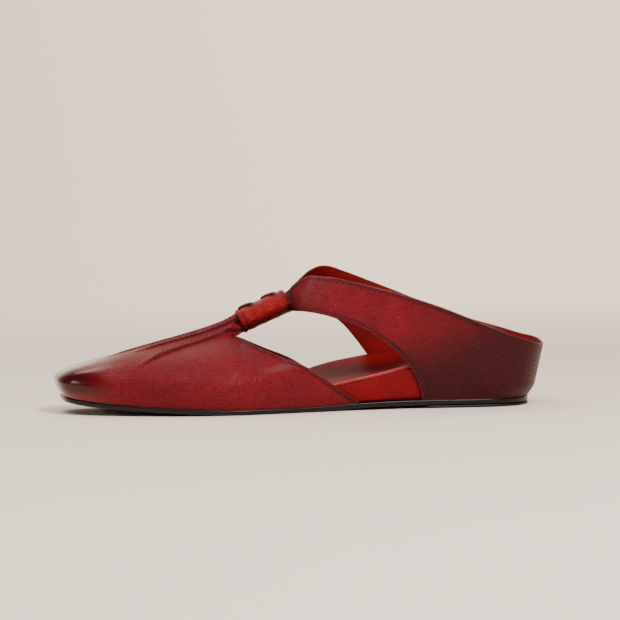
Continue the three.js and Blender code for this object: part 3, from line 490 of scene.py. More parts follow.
def make_ribs(stations: int, heel_ribs: int, toe_ribs: int) -> Ribs:
    """Lays the ribs: toe tip, outer side back to the heel, back of the heel, inner side forward.

    Args:
        stations: steps along each side between the heel's and the toe's centre.
        heel_ribs: ribs that fan round each half of the heel.
        toe_ribs: ribs that fan round each half of the toe.

    Returns:
        The ribs in one closed order.
    """
    tip = (TOE_END * SOLE_LENGTH - TOE_SLANT / 2, float(ridge_y(TOE_CENTRE)), TOE_CENTRE)
    back = (HEEL_END * SOLE_LENGTH, 0.0, HEEL_CENTRE)
    outer, inner = (side_ribs(side, stations, heel_ribs, toe_ribs) for side in (Side.OUTER, Side.INNER))
    rows = [tip, *outer, back, *reversed(inner)]
    edges = [(x, y) for x, y, _ in rows]
    spines = [(at * SOLE_LENGTH, float(ridge_y(at))) for _, _, at in rows]
    return Ribs(np.array(edges), np.array(spines))


def last_points(ribs: Ribs, across: Array, share: Array) -> Array:
    """Points of the last's outside.

    Args:
        ribs: the ribs, one for each row of the arrays.
        across: from 1 at the sole edge to 0 at the ridge, shape (ribs, rows).
        share: height share of each point, shape (ribs, rows).

    Returns:
        Points of shape (ribs, rows, 3).
    """
    at = ribs.at[:, None]
    over = share * (SECTIONS.curve("ridge", at) - SECTIONS.curve("crest", at) - feather(at))
    rising = np.clip(over / (SECTIONS.curve("high", at) * BELLY_HEIGHT), 0, 1)
    swollen = SECTIONS.curve("swell", at) * np.sin(np.pi / 2 * rising) ** BELLY_ROUNDNESS
    swollen = swollen + SECTIONS.curve("lean", at) * HEEL_LEAN * over
    away = ribs.edge - ribs.spine
    length = np.linalg.norm(away, axis=1)[:, None]
    heading = away / length
    reach = (length + swollen) * across
    plan = ribs.spine[:, None, :] + heading[:, None, :] * reach[..., None]
    here = share_of(plan[..., 0])
    fold = np.minimum(1.0, np.abs(plan[..., 1] - ribs.spine[:, None, 1]) / SECTIONS.curve("fold", here))
    crest = SECTIONS.curve("crest", here) * (1 - fold**2) ** 2
    base = SECTIONS.curve("ridge", here) - SECTIONS.curve("crest", here) - feather(here)
    return np.dstack((plan, feather(here) + base * share + crest))


def last_grid(ribs: Ribs, rows: int) -> Array:
    """The last's outside as a grid with even steps up each rib.

    Args:
        ribs: the ribs of the last.
        rows: number of points up each rib.

    Returns:
        Points of shape (ribs, rows, 3), from the sole edge to the ridge.
    """
    turn = np.linspace(0, np.pi / 2, RIB_STEPS)[None, :]
    square = SECTIONS.curve("square", ribs.at)[:, None]
    across = np.cos(turn) ** (2 / square)
    across[:, -1] = 0.0
    dense = last_points(ribs, across, np.sin(turn) ** (2 / square))
    steps = np.linalg.norm(np.diff(dense, axis=1), axis=2)
    along = np.concatenate((np.zeros((len(dense), 1)), np.cumsum(steps, axis=1)), axis=1)
    even = np.empty((len(dense), rows, 3))
    for i, (points, run) in enumerate(zip(dense, along)):
        wanted = np.linspace(0, run[-1], rows)
        for axis in range(3):
            even[i, :, axis] = np.interp(wanted, run, points[:, axis])
    return even


def to_row(points: Array) -> Array:
    """The last's millimetres turned to the row frame's metres: toe to -X, outer side to -Y."""
    points = np.asarray(points, float)
    return np.stack((ORIGIN_X - points[..., 0], ORIGIN_Y - points[..., 1], points[..., 2]), axis=-1) * MM


def keeper_place(along: Array, aside: Array, up: Array) -> Array:
    """Points in the last's frame from the keeper's own axes: forwards, outwards, away from the foot."""
    x = KEEPER_X + along * COS_SLOPE + up * SIN_SLOPE
    y = float(ridge_y(KEEPER_MIDDLE)) + aside
    z = KEEPER_AXIS_HEIGHT - along * SIN_SLOPE + up * COS_SLOPE
    return np.stack(np.broadcast_arrays(x, y, z), axis=-1)


def lattice_faces(columns: int, rows: int, wrap_columns: bool = False, wrap_rows: bool = False) -> list[Face]:
    """Quads of a grid stored column by column.

    Args:
        columns: number of columns.
        rows: number of points in each column.
        wrap_columns: whether the last column joins the first.
        wrap_rows: whether the last point of a column joins its first.

    Returns:
        The faces, column by column.
    """
    faces = []
    for i in range(columns if wrap_columns else columns - 1):
        j = (i + 1) % columns
        for k in range(rows if wrap_rows else rows - 1):
            m = (k + 1) % rows
            faces.append((i * rows + k, i * rows + m, j * rows + m, j * rows + k))
    return faces


def without_repeats(ring: Sequence[int]) -> Face:
    """A face's corners without those that repeat the one before."""
    return tuple(a for i, a in enumerate(ring) if a != ring[i - 1])


def point_tree(points: Iterable[Sequence[float]]) -> KDTree:
    """A search tree of points."""
    places = [Vector(p) for p in points]
    tree = KDTree(len(places))
    for i, place in enumerate(places):
        tree.insert(place, i)
    tree.balance()
    return tree


@dataclass
class Sheet:
    """A piece of leather before it has its thickness: points, faces and values at the points."""

    points: Array
    faces: list[Face]
    values: dict[str, Array] = field(default_factory=dict)

    def normals(self) -> Array:
        """Unit normals at the points, weighted by area."""
        total = np.zeros_like(self.points)
        for size in sorted({len(face) for face in self.faces}):
            ring = np.array([face for face in self.faces if len(face) == size])
            corner = self.points[ring]
            area = np.zeros((len(ring), 3))
            for i in range(1, size - 1):
                area += np.cross(corner[:, i] - corner[:, 0], corner[:, i + 1] - corner[:, 0])
            for i in range(size):
                np.add.at(total, ring[:, i], area)
        length = np.linalg.norm(total, axis=1, keepdims=True)
        return total / np.maximum(length, 1e-12)

    def trimmed(self, level: Array) -> Sheet:
        """Cuts the sheet along the line where a level is 0 and keeps the side above it.

        Args:
            level: a value at each point, near the distance to the cut.

        Returns:
            The kept part, with every value carried to the new points.
        """
        keep = level > 0
        points = list(self.points)
        values = {name: list(column) for name, column in self.values.items()}
        crossings: dict[tuple[int, int], int] = {}
        nearest = 0.02

        def crossing(a: int, b: int) -> int:
            pair = (min(a, b), max(a, b))
            if pair not in crossings:
                t = float(np.clip(level[a] / (level[a] - level[b]), nearest, 1 - nearest))
                crossings[pair] = len(points)
                points.append(points[a] * (1 - t) + points[b] * t)
                for column in values.values():
                    column.append(column[a] * (1 - t) + column[b] * t)
            return crossings[pair]

        faces = []
        for face in self.faces:
            ring = []
            for i, a in enumerate(face):
                b = face[(i + 1) % len(face)]
                if keep[a]:
                    ring.append(a)
                if keep[a] != keep[b]:
                    ring.append(crossing(a, b))
            if len(ring) > 2:
                faces.append(tuple(ring))
        return Sheet(np.array(points), faces, {n: np.array(c) for n, c in values.items()}).packed()

    def packed(self) -> Sheet:
        """The sheet without points that no face uses."""
        used = sorted({i for face in self.faces for i in face})
        place = {old: new for new, old in enumerate(used)}
        faces = [tuple(place[i] for i in face) for face in self.faces]
        return Sheet(self.points[used], faces, {n: c[used] for n, c in self.values.items()})

    def merged(self, distance: float = 0.02) -> Sheet:
        """The sheet with doubled points made one and collapsed faces left out."""
        grid = np.round(self.points / distance).astype(np.int64)
        _, first, place = np.unique(grid, axis=0, return_index=True, return_inverse=True)
        place = place.reshape(-1)
        rings = [without_repeats([int(place[i]) for i in face]) for face in self.faces]
        faces = [ring for ring in rings if len(set(ring)) > 2]
        return Sheet(self.points[first], faces, {n: c[first] for n, c in self.values.items()})

    def largest(self) -> Sheet:
        """The largest connected part."""
        parent = list(range(len(self.points)))

        def root(i: int) -> int:
            while parent[i] != i:
                parent[i] = parent[parent[i]]
                i = parent[i]
            return i

        for face in self.faces:
            first = root(face[0])
            for i in face[1:]:
                parent[root(i)] = first
        owners = [root(face[0]) for face in self.faces]
        best = max(sorted(set(owners)), key=owners.count)
        kept = [face for face, owner in zip(self.faces, owners) if owner == best]
        return Sheet(self.points, kept, self.values).packed()

    def borders(self) -> list[list[int]]:
        """Closed loops of border points, each with the leather on its left."""
        shortest = 9
        edges = {(face[i - 1], face[i]) for face in self.faces for i in range(len(face))}
        follow = {a: b for a, b in edges if (b, a) not in edges}
        loops = []
        while follow:
            start, here = follow.popitem()
            loop = [start]
            while here != start and here in follow:
                loop.append(here)
                here = follow.pop(here)
            if len(loop) >= shortest:
                loops.append(loop)
        return loops

    def over_sole(self, chosen: Sequence[int]) -> Array:
        """Heights of chosen points over the sole's edge."""
        place = self.points[chosen]
        return place[:, 2] - feather(share_of(place[:, 0]))


def border_frame(points: Array, normals: Array, loop: Sequence[int]) -> tuple[Array, Array, Array]:
    """Places, normals and outward in-surface directions along a border loop."""
    place, normal = points[loop], normals[loop]
    along = np.roll(place, -1, axis=0) - np.roll(place, 1, axis=0)
    for _ in range(3):
        along = (np.roll(along, 1, axis=0) + 2 * along + np.roll(along, -1, axis=0)) / 4
    out = np.cross(along, normal)
    out /= np.maximum(np.linalg.norm(out, axis=1, keepdims=True), 1e-9)
    return place, normal, out


@dataclass
class Skin:
    """A closed body: points, faces, a part number for each face and values at the points."""

    points: Array
    faces: list[Face]
    parts: list[int]
    values: dict[str, Array] = field(default_factory=dict)

    def turned_out(self) -> Skin:
        """The body with its faces turned outwards, going by its volume."""
        total = 0.0
        for face in self.faces:
            a = self.points[face[0]]
            for i in range(1, len(face) - 1):
                total += float(np.dot(a, np.cross(self.points[face[i]], self.points[face[i + 1]])))
        if total < 0:
            self.faces = [tuple(reversed(face)) for face in self.faces]
        return self


def thicken(sheet: Sheet, wall: Array, rounds: int = 4) -> Skin:
    """Gives a sheet its thickness towards the inside, with half-round edges.

    Args:
        sheet: the outer face.
        wall: the thickness at each point.
        rounds: steps of each half-round between the two faces.

    Returns:
        The closed wall; parts are 0 outer face, 1 inner face, 2 edge.
    """
    count = len(sheet.points)
    normals = sheet.normals()
    points = [sheet.points, sheet.points - normals * wall[:, None]]
    values = {name: [column, column] for name, column in sheet.values.items()}
    faces = list(sheet.faces)
    faces += [tuple(i + count for i in reversed(face)) for face in sheet.faces]
    parts = [0] * len(sheet.faces) + [1] * len(sheet.faces)
    start = 2 * count
    for loop in sheet.borders():
        place, normal, out = border_frame(sheet.points, normals, loop)
        half = wall[loop][:, None] / 2
        rings = [list(loop)]
        for k in range(1, rounds):
            turn = math.pi * k / rounds
            points.append(place - normal * half * (1 - math.cos(turn)) + out * half * math.sin(turn))
            for name, column in sheet.values.items():
                values[name].append(column[loop])
            rings.append(list(range(start, start + len(loop))))
            start += len(loop)
        rings.append([i + count for i in loop])
        for low, high in zip(rings, rings[1:]):
            for i in range(len(loop)):
                j = (i + 1) % len(loop)
                faces.append((low[j], low[i], high[i], high[j]))
                parts.append(2)
    joined = {name: np.concatenate(columns) for name, columns in values.items()}
    return Skin(np.concatenate(points), faces, parts, joined)


def link_object(name: str, data: bpy.types.ID) -> bpy.types.Object:
    """A new object in the scene."""
    made = bpy.data.objects.new(name, data)
    bpy.context.scene.collection.objects.link(made)
    return made


def shade_smooth(mesh: bpy.types.Mesh) -> None:
    """Smooth shading on every face."""
    mesh.polygons.foreach_set("use_smooth", np.ones(len(mesh.polygons), bool))


def make_object(name: str, skin: Skin, materials: Sequence[bpy.types.Material]) -> bpy.types.Object:
    """Makes a smooth-shaded object of a skin.

    Args:
        name: the piece's name.
        skin: points in the last's millimetres, faces and values.
        materials: one for each part number of the skin.

    Returns:
        The object, at the origin in the row frame.
    """
    mesh = bpy.data.meshes.new(name)
    mesh.from_pydata([tuple(p) for p in to_row(skin.points)], [], skin.faces)
    for material in materials:
        mesh.materials.append(material)
    mesh.polygons.foreach_set("material_index", np.minimum(skin.parts, len(materials) - 1))
    shade_smooth(mesh)
    for key, column in skin.values.items():
        stored = mesh.attributes.new(key, "FLOAT", "POINT")
        stored.data.foreach_set("value", np.asarray(column, np.float32))
    mesh.validate()
    mesh.update()
    return link_object(name, mesh)


def settle(piece: bpy.types.Object, nodes: Iterable[str] = ()) -> None:
    """Puts a finished piece on the shoe's one body and over its solids."""
    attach(piece, "root")
    for node in nodes:
        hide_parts(node)
    log.info("%s: %d faces", piece.name, len(piece.data.polygons))


def linear(colour: str) -> tuple[float, float, float, float]:
    """An sRGB hex colour as linear RGBA."""
    parts = [int(colour[i : i + 2], 16) / 255 for i in (1, 3, 5)]
    values = [c / 12.92 if c <= 0.04045 else ((c + 0.055) / 1.055) ** 2.4 for c in parts]
    return (values[0], values[1], values[2], 1.0)


def add_node(
    tree: bpy.types.NodeTree,
    kind: str,
    inputs: dict[str | int, object] | None = None,
    **settings: object,
) -> bpy.types.Node:
    """Adds a node with its settings, values and links.

    Args:
        tree: the node tree.
        kind: the node's type name.
        inputs: for each input, a value or the output socket to link from.
        settings: attributes to set on the node.

    Returns:
        The node.
    """
    node = tree.nodes.new(kind)
    for name, value in settings.items():
        setattr(node, name, value)
    for name, value in (inputs or {}).items():
        socket = node.inputs[name]
        if isinstance(value, bpy.types.NodeSocket):
            tree.links.new(value, socket)
        else:
            socket.default_value = value
    return node


class Paint:
    """One material's node tree, whose patterns lie in the piece's own coordinates."""

    def __init__(self, name: str) -> None:
        """Starts the material with an empty tree."""
        self.material = bpy.data.materials.new(name)
        self.material.use_nodes = True
        self.tree = self.material.node_tree
        self.tree.nodes.clear()

    @cached_property
    def place(self) -> bpy.types.NodeSocket:
        """The piece's own coordinates, in metres."""
        return add_node(self.tree, "ShaderNodeTexCoord").outputs["Object"]

    def stored(self, name: str) -> bpy.types.NodeSocket:
        """A value that the mesh keeps at its points."""
        return add_node(self.tree, "ShaderNodeAttribute", attribute_name=name).outputs["Fac"]

    def noise(self, size_mm: float, detail: float, roughness: float = 0.5) -> bpy.types.NodeSocket:
        """Cloudy noise with features of a size."""
        inputs = {"Vector": self.place, "Scale": 1 / (size_mm * MM), "Detail": detail, "Roughness": roughness}
        return add_node(self.tree, "ShaderNodeTexNoise", inputs).outputs["Fac"]

    def cells(self, size_mm: float) -> bpy.types.NodeSocket:
        """Distance to the middle of the nearest cell."""
        inputs = {"Vector": self.place, "Scale": 1 / (size_mm * MM), "Randomness": 1.0}
        return add_node(self.tree, "ShaderNodeTexVoronoi", inputs).outputs["Distance"]

    def scaled(self, value: object, gain: object, added: object, clamp: bool = False) -> bpy.types.NodeSocket:
        """A value times a gain, plus another, held between 0 and 1 where asked."""
        settings = {"operation": "MULTIPLY_ADD", "use_clamp": clamp}
        return add_node(self.tree, "ShaderNodeMath", {0: value, 1: gain, 2: added}, **settings).outputs[0]

    def remapped(
        self,
        value: bpy.types.NodeSocket,
        given: tuple[float, float],
        wanted: tuple[float, float] = (0.0, 1.0),
        way: str = "LINEAR",
    ) -> bpy.types.NodeSocket:
        """A value carried from one range to another."""
        inputs = {
            "Value": value,
            "From Min": given[0],
            "From Max": given[1],
            "To Min": wanted[0],
            "To Max": wanted[1],
        }
        return add_node(self.tree, "ShaderNodeMapRange", inputs, interpolation_type=way).outputs["Result"]

    def ramp(self, value: bpy.types.NodeSocket, start: float, low: str, high: str) -> bpy.types.NodeSocket:
        """A colour that passes from one tone to another between a start and 1."""
        node = add_node(self.tree, "ShaderNodeValToRGB", {"Fac": value})
        for stop, at, colour in zip(node.color_ramp.elements, (start, 1.0), (low, high)):
            stop.position = at
            stop.color = linear(colour)
        return node.outputs["Color"]

    def mixed(self, factor: bpy.types.NodeSocket, one: object, other: object) -> bpy.types.NodeSocket:
        """One colour, or another where the factor is 1."""
        inputs = {"Factor": factor, 6: one, 7: other}
        return add_node(self.tree, "ShaderNodeMix", inputs, data_type="RGBA").outputs[2]

    def bump(self, strength: float, depth_mm: float, height: bpy.types.NodeSocket) -> bpy.types.NodeSocket:
        """Normals of a height pattern."""
        inputs = {"Strength": strength, "Distance": depth_mm * MM, "Height": height}
        return add_node(self.tree, "ShaderNodeBump", inputs).outputs["Normal"]

    def finished(self, inputs: dict[str | int, object]) -> bpy.types.Material:
        """The material, with its shader's inputs set."""
        shader = add_node(self.tree, "ShaderNodeBsdfPrincipled", inputs)
        add_node(self.tree, "ShaderNodeOutputMaterial", {"Surface": shader.outputs[0]})
        return self.material


@dataclass(frozen=True)
class BurnishedLeather:
    """Vegetable-tanned calf, hand-burnished darker at toe, heel and edges, then glazed; its dark tone also
    carries painted shade.

    The eye sees a deep red with a fine pebble that breaks the gloss into specks. Where the toe is
    polished, the pebble is ironed flat and the glaze is thicker.
    """

    name: str
    base: str
    light: str
    dark: str
    coat: float = 0.03
    toe_coat: float = 0.4
    roughness: float = 0.31
    specular: float = 0.16
    cloud_mm: float = 26.0
    mottle_mm: float = 3.2
    mottle_share: float = 0.55
    tone_start: float = 0.52
    pebble_mm: float = 0.95
    pebble_depth: float = 0.55
    pebble_gain: float = -0.9
    pore_mm: float = 0.6
    rag_mottle: float = 0.35
    rub_and_shade_range: tuple[float, float] = (0.12, 1.12)
    grain_range: tuple[float, float] = (-0.3, 0.6)
    duller: float = 0.08
    shinier: float = -0.06
    polish_gain: float = -0.2
    ironed: tuple[float, float] = (0.0, 0.7)
    ironed_depth: float = 0.1

    def make(self) -> bpy.types.Material:
        """Builds the material; it reads the piece's values for burnish with painted shade, and for polish."""
        paint = Paint(self.name)
        polish = paint.stored("polish")
        mottle = paint.noise(self.mottle_mm, detail=5.0, roughness=0.65)
        shade = paint.scaled(mottle, self.mottle_share, paint.noise(self.cloud_mm, detail=4.0, roughness=0.6))
        pores = paint.noise(self.pore_mm, detail=3.0, roughness=0.6)
        grain = paint.scaled(paint.cells(self.pebble_mm), self.pebble_gain, pores)
        # Burnish and painted shade, with a little mottle, darken the tone.
        rubbed_and_shaded = paint.scaled(mottle, self.rag_mottle, paint.stored("burnish"), clamp=True)
        darkness = paint.remapped(rubbed_and_shaded, self.rub_and_shade_range, way="SMOOTHSTEP")
        tone = paint.ramp(shade, self.tone_start, self.base, self.light)
        sheen = (self.roughness + self.duller, self.roughness + self.shinier)
        gloss = paint.remapped(grain, self.grain_range, sheen)
        flatness = paint.remapped(polish, self.ironed, (1.0, self.ironed_depth))
        return paint.finished(
            {
                "Base Color": paint.mixed(darkness, tone, linear(self.dark)),
                "Roughness": paint.scaled(polish, self.polish_gain, gloss, clamp=True),
                "Normal": paint.bump(0.9, self.pebble_depth, paint.scaled(grain, flatness, 0.0)),
                "IOR": 1.5,
                "Specular IOR Level": self.specular,
                "Coat Weight": paint.scaled(polish, self.toe_coat, self.coat),
                "Coat Roughness": 0.2,
                "Coat IOR": 1.45,
            }
        )


@dataclass(frozen=True)
class PlainFinish:
    """A finish with one colour, a little mottle and a fine bump, for lining, sock, edges and sole."""

    name: str
    colour: str
    deeper: str
    roughness: float
    mottle_mm: float
    bump_mm: float
    bump_depth: float
    coat: float = 0.0
    specular: float = 0.35
    mottle_range: tuple[float, float] = (0.35, 0.7)

    def make(self) -> bpy.types.Material:
        """Builds the material from its two tones and its bump."""
        paint = Paint(self.name)
        spread = paint.remapped(paint.noise(self.mottle_mm, detail=4.0, roughness=0.55), self.mottle_range)
        return paint.finished(
            {
                "Base Color": paint.mixed(spread, linear(self.deeper), linear(self.colour)),
                "Roughness": self.roughness,
                "Normal": paint.bump(0.5, self.bump_depth, paint.noise(self.bump_mm, detail=3.0)),
                "IOR": 1.5,
                "Specular IOR Level": self.specular,
                "Coat Weight": self.coat,
                "Coat Roughness": 0.12,
            }
        )


# The upper's outer face: deep red that goes to dark wine where it was rubbed and where shade is painted, and
# a gloss at the toe.
CALF = BurnishedLeather("burnished calf", "#5e010f", "#78081a", "#340207")
# The keeper's leather: a brighter copy of the calf, painted light for the sleeve that faces the light, with a
# darker tone for the shade painted under it.
LIT_KEEPER_CALF = BurnishedLeather("burnished calf, rolled", "#74040e", "#920f18", "#240306")
# The loops: nearly black in their folds, with small white highlights from the wax.
THONG = BurnishedLeather("waxed thong leather", "#4a080a", "#640f12", "#160203", coat=0.6)
# The lining: flat bright red inside the strap, without a gloss.
LINING = PlainFinish("kip lining leather", "#7c030a", "#640308", 0.55, 14.0, 0.9, 0.05, 0.0, 0.2)
# The cut edges: a thin dull line, darker than the leather on both its sides.
CUT_EDGE = PlainFinish("inked cut edge", "#66101a", "#3c080c", 0.42, 5.0, 0.7, 0.04)
# The sock under the foot: soft dark red that takes the window's light as a pale veil.
SOCK = PlainFinish("glazed sheepskin sock", "#6e060a", "#62050a", 0.6, 20.0, 1.0, 0.05, 0.0, 0.16)
# The sock's bound edge: a brighter line between the sock and the wedge, a painted highlight along its rolled
# edge.
SOCK_EDGE = PlainFinish("bound sock edge", "#a00c10", "#80080a", 0.35, 8.0, 0.8, 0.04, 0.1)
# The wedge's cover: smooth and plain, the brightest red of the shoe where light reaches it.
COVER = PlainFinish("smooth calf wedge cover", "#780210", "#66020c", 0.5, 24.0, 1.2, 0.03, 0.0, 0.15)
# The outsole: a black line with a soft highlight along its edge.
SOLE = PlainFinish("black burnished sole leather", "#040303", "#020202", 0.3, 10.0, 0.8, 0.03, 0.05, 0.3)
# The top lift: black too, but dull beside the sole leather.
RUBBER = PlainFinish("black heel rubber", "#080707", "#050404", 0.5, 8.0, 0.6, 0.05)
# The thread: dark wine stitches that read as a dotted line.
THREAD = PlainFinish("waxed linen thread", "#3a0a0a", "#260606", 0.45, 3.0, 0.3, 0.03)


def side_outline(side: Side) -> Array:
    """The window's outline in the side view, closed, in millimetres of x and z."""

    def eased(points: Sequence[tuple[float, float]]) -> Array:
        place = np.array([(x * SOLE_LENGTH, z * OUTER_COLLAR_HEIGHT) for x, z in points])
        run = np.concatenate(([0.0], np.cumsum(np.linalg.norm(np.diff(place, axis=0), axis=1))))
        curve = []
        for axis in range(2):
            table = Table(("at", "v"), list(zip(run, place[:, axis])))
            table.slopes["v"] = np.gradient(place[:, axis], run)
            curve.append(table.curve("v", np.linspace(0, run[-1], WINDOW_STEPS)))
        return np.stack(curve, axis=1)

    strap, vamp = eased(STRAP_EDGE[side.key]), eased(VAMP_EDGE)
    tab = [(at * SOLE_LENGTH, axis_height(at) - TAB_ROOM) for at in (KEEPER_FRONT, KEEPER_REAR)]
    low = [(strap[-1][0], FAR_BELOW), (vamp[0][0], FAR_BELOW)]
    return np.concatenate((low, vamp, tab, strap))


def outside_distance(x: Array, z: Array, outline: Array) -> Array:
    """Signed distance to a closed outline, above 0 outside it."""
    px, pz = x.reshape(-1), z.reshape(-1)
    nearest = np.full(px.shape, np.inf)
    inside = np.zeros(px.shape, bool)
    for (ax, az), (bx, bz) in zip(outline, np.roll(outline, -1, axis=0)):
        dx, dz = bx - ax, bz - az
        t = np.clip(((px - ax) * dx + (pz - az) * dz) / max(dx * dx + dz * dz, 1e-12), 0, 1)
        nearest = np.minimum(nearest, np.hypot(px - ax - t * dx, pz - az - t * dz))
        if abs(dz) > 1e-12:
            crosses = (az > pz) != (bz > pz)
            inside ^= crosses & (px < ax + (pz - az) / dz * dx)
    return np.where(inside, -nearest, nearest).reshape(x.shape)


def collar_height(x: Array, y: Array) -> Array:
    """Height of the collar line over a place in plan."""
    at = x / SOLE_LENGTH
    outer = COLLAR["outer"].curve("height", at) * OUTER_COLLAR_HEIGHT
    inner = COLLAR["inner"].curve("height", at) * INNER_COLLAR_HEIGHT
    share = smooth(y, -COLLAR_BLEND, COLLAR_BLEND)
    return inner * (1 - share) + outer * share


@dataclass
class Upper:
    """The hollow upper: vamp, tab, strap wings and heel wrap, with the lines of its stitching."""

    leather: bpy.types.Material
    lining: bpy.types.Material
    edge: bpy.types.Material
    sheet: Sheet = field(init=False)

    def __post_init__(self) -> None:
        """Shapes the outer face: trimmed to its outline, then pressed into its pleats and creases."""
        rows = FULL_ROWS
        grid = last_grid(make_ribs(*FULL_RIBS), rows)
        self._gather(grid)
        window = np.empty(grid.shape[:2])
        for side in Side:
            here = (grid[..., 1] - ridge_y(grid[..., 0] / SOLE_LENGTH)) * side.value >= 0
            window[here] = outside_distance(grid[..., 0], grid[..., 2], side_outline(side))[here]
        top = collar_height(grid[..., 0], grid[..., 1]) - grid[..., 2]
        values = {"window": window.reshape(-1), "top": top.reshape(-1)}
        sheet = Sheet(grid.reshape(-1, 3), lattice_faces(len(grid), rows, wrap_columns=True), values)
        for name in ("top", "window"):
            sheet = sheet.trimmed(sheet.values[name])
        self.sheet = sheet.merged().largest()
        if self.sheet.normals()[np.argmax(self.sheet.points[:, 1])][1] < 0:
            self.sheet.faces = [tuple(reversed(face)) for face in self.sheet.faces]
        self._measure_rim()
        self._press()
        self._shade()

    @staticmethod
    def _gather(grid: Array) -> None:
        """Draws the tab in where it passes through the keeper, so that it clears the keeper's wall."""
        at = grid[..., 0] / SOLE_LENGTH
        through = smooth(at, KEEPER_REAR - GATHER_RUN, KEEPER_REAR)
        through *= 1 - smooth(at, KEEPER_FRONT, KEEPER_FRONT + GATHER_RUN)
        high = smooth(grid[..., 2] - axis_height(at), *GATHER_HEIGHTS)
        middle = ridge_y(at)
        grid[..., 1] = middle + (grid[..., 1] - middle) * (1 - GATHER_SHARE * through * high)

    def _measure_rim(self) -> None:
        """Stores each point's distance to the borders above the sole."""
        border = np.array([i for loop in self.sheet.borders() for i in loop])
        tree = point_tree(self.sheet.points[border[self.sheet.over_sole(border) > 1.0]])
        self.sheet.values["rim"] = np.array([tree.find(Vector(p))[2] for p in self.sheet.points])

    def _press(self) -> None:
        """Raises the pleats and sinks the creases and the seam along the normals."""
        x, y, z = self.sheet.points.T
        at = x / SOLE_LENGTH
        aside = y - ridge_y(at)
        lift, groove = np.zeros(len(x)), np.zeros(len(x))
        for tuck in TUCKS:
            off = (aside - tuck.off_ridge(at)) * tuck.free_edge
            fade = smooth(at, tuck.at[0] - TUCK_RISE, tuck.at[0])
            fade *= 1 - smooth(at, tuck.at[-1] - TUCK_END, tuck.at[-1])
            lift += tuck.height * smooth(off, -tuck.width, TUCK_CREST) * (1 - smooth(off, *TUCK_FALL)) * fade
            lift -= TUCK_DENT * bell(off, *TUCK_DENT_BAND) * fade
            groove = np.maximum(groove, bell(off, *TUCK_GROOVE_BAND) * fade)
        for side, creases in CREASES.items():
            there = smooth(aside * side.value, *CREASE_BESIDE_RIDGE)
            for crease in creases:
                angle = math.radians(crease.lean)
                dx, dz = x - crease.at * SOLE_LENGTH, z - crease.height
                along = dz * math.cos(angle) + dx * math.sin(angle)
                off = dx * math.cos(angle) - dz * math.sin(angle) + CREASE_BOW * along**2
                shape = np.exp(-((off / crease.width) ** 2) - (along / crease.half) ** 4)
                lift += CREASE_GAIN * crease.depth * shape * there
        lift -= SEAM_DEPTH * bell(self.sheet.values["rim"], STITCH_INSET, SEAM_WIDTH)
        self.sheet.points += self.sheet.normals() * lift[:, None]
        self.sheet.values["groove"] = groove

    def _shade(self) -> None:
        """Works out how dark the leather is at each point, from burnish and from painted shade, and where the
        toe is polished.
        """
        values = self.sheet.values
        at = self.sheet.points[:, 0] / SOLE_LENGTH
        over = self.sheet.over_sole(range(len(at)))
        # Burnish at the toe, held back on the toe's top: painted shade on its sides under a lit top.
        total = TOE_DARK * smooth(at, *TOE_FADE) * smooth(over, *TOE_RISE)
        total *= 1 - TOE_TOP_LIGHTER * smooth(over, *TOE_TOP)
        total += FOREPART_DARK * smooth(at, *FOREPART_FADE)
        # The heel: burnish and painted shade, as its back faces away from the light.
        for dark, fade in HEEL_BANDS:
            total += dark * (1 - smooth(at, *fade))
        total += FEATHER_DARK * (1 - smooth(over, *FEATHER_RISE))
        # Low on the quarter: painted shade where the wall faces down, with some burnish.
        total += QUARTER_DARK * (1 - smooth(at, *QUARTER_FADE)) * (1 - smooth(over, *QUARTER_RISE))
        total += RIM_DARK * bell(values["rim"], *RIM_BAND)
        total += RIM_SOFT_DARK * np.exp(-values["rim"] / RIM_SOFT_REACH)
        # Painted shade at the keeper's mouth, where the tab goes in.
        total += MOUTH_DARK * bell(at, *MOUTH_BAND) * smooth(over, *MOUTH_RISE)
        # Painted shade in the pleats' grooves.
        values["burnish"] = np.maximum(np.clip(total, 0, 1.0), GROOVE_DARK * values["groove"])
        values["polish"] = smooth(at, *POLISH_FADE)

    def build(self) -> None:
        """Builds the upper's wall from its outer face."""
        wall = SKIVED_EDGE + (LEATHER - SKIVED_EDGE) * smooth(self.sheet.values["rim"], 0.0, SKIVED_WIDTH)
        skin = thicken(self.sheet, wall)
        skin.values = {name: skin.values[name] for name in ("burnish", "polish")}
        settle(make_object("upper_leather", skin, (self.leather, self.lining, self.edge)), ["upper"])

    def stitch_lines(self) -> list[Array]:
        """Lines inside the borders where the edge stitching runs, without the sole's edge."""
        proud = 0.02
        normals = self.sheet.normals()
        lines = []
        for loop in self.sheet.borders():
            place, normal, out = border_frame(self.sheet.points, normals, loop)
            line = place - out * STITCH_INSET + normal * proud
            lines += split_runs(line, self.sheet.over_sole(loop) > STITCH_OVER_SOLE)
        return lines

    def tuck_lines(self) -> list[Array]:
        """Lines on the pleats, just inside each fold's free edge."""
        proud, start, end, passes = 0.1, 0.005, 0.05, 6
        tree = point_tree((x, y, 0.0) for x, y, _ in self.sheet.points)
        normals = self.sheet.normals()
        lines = []
        for tuck in TUCKS:
            at = np.linspace(tuck.at[0] + start, tuck.at[-1] - end, TUCK_STITCH_STEPS)
            y = ridge_y(at) + tuck.off_ridge(at) - tuck.free_edge * TUCK_STITCH_INSET
            found = [tree.find(Vector((a * SOLE_LENGTH, b, 0.0)))[1] for a, b in zip(at, y)]
            place = self.sheet.points[found] + normals[found] * proud
            place[:, 0] = at * SOLE_LENGTH
            place[:, 1] = y
            eased_line(place[:, 2], passes)
            lines.append(place)
        return lines


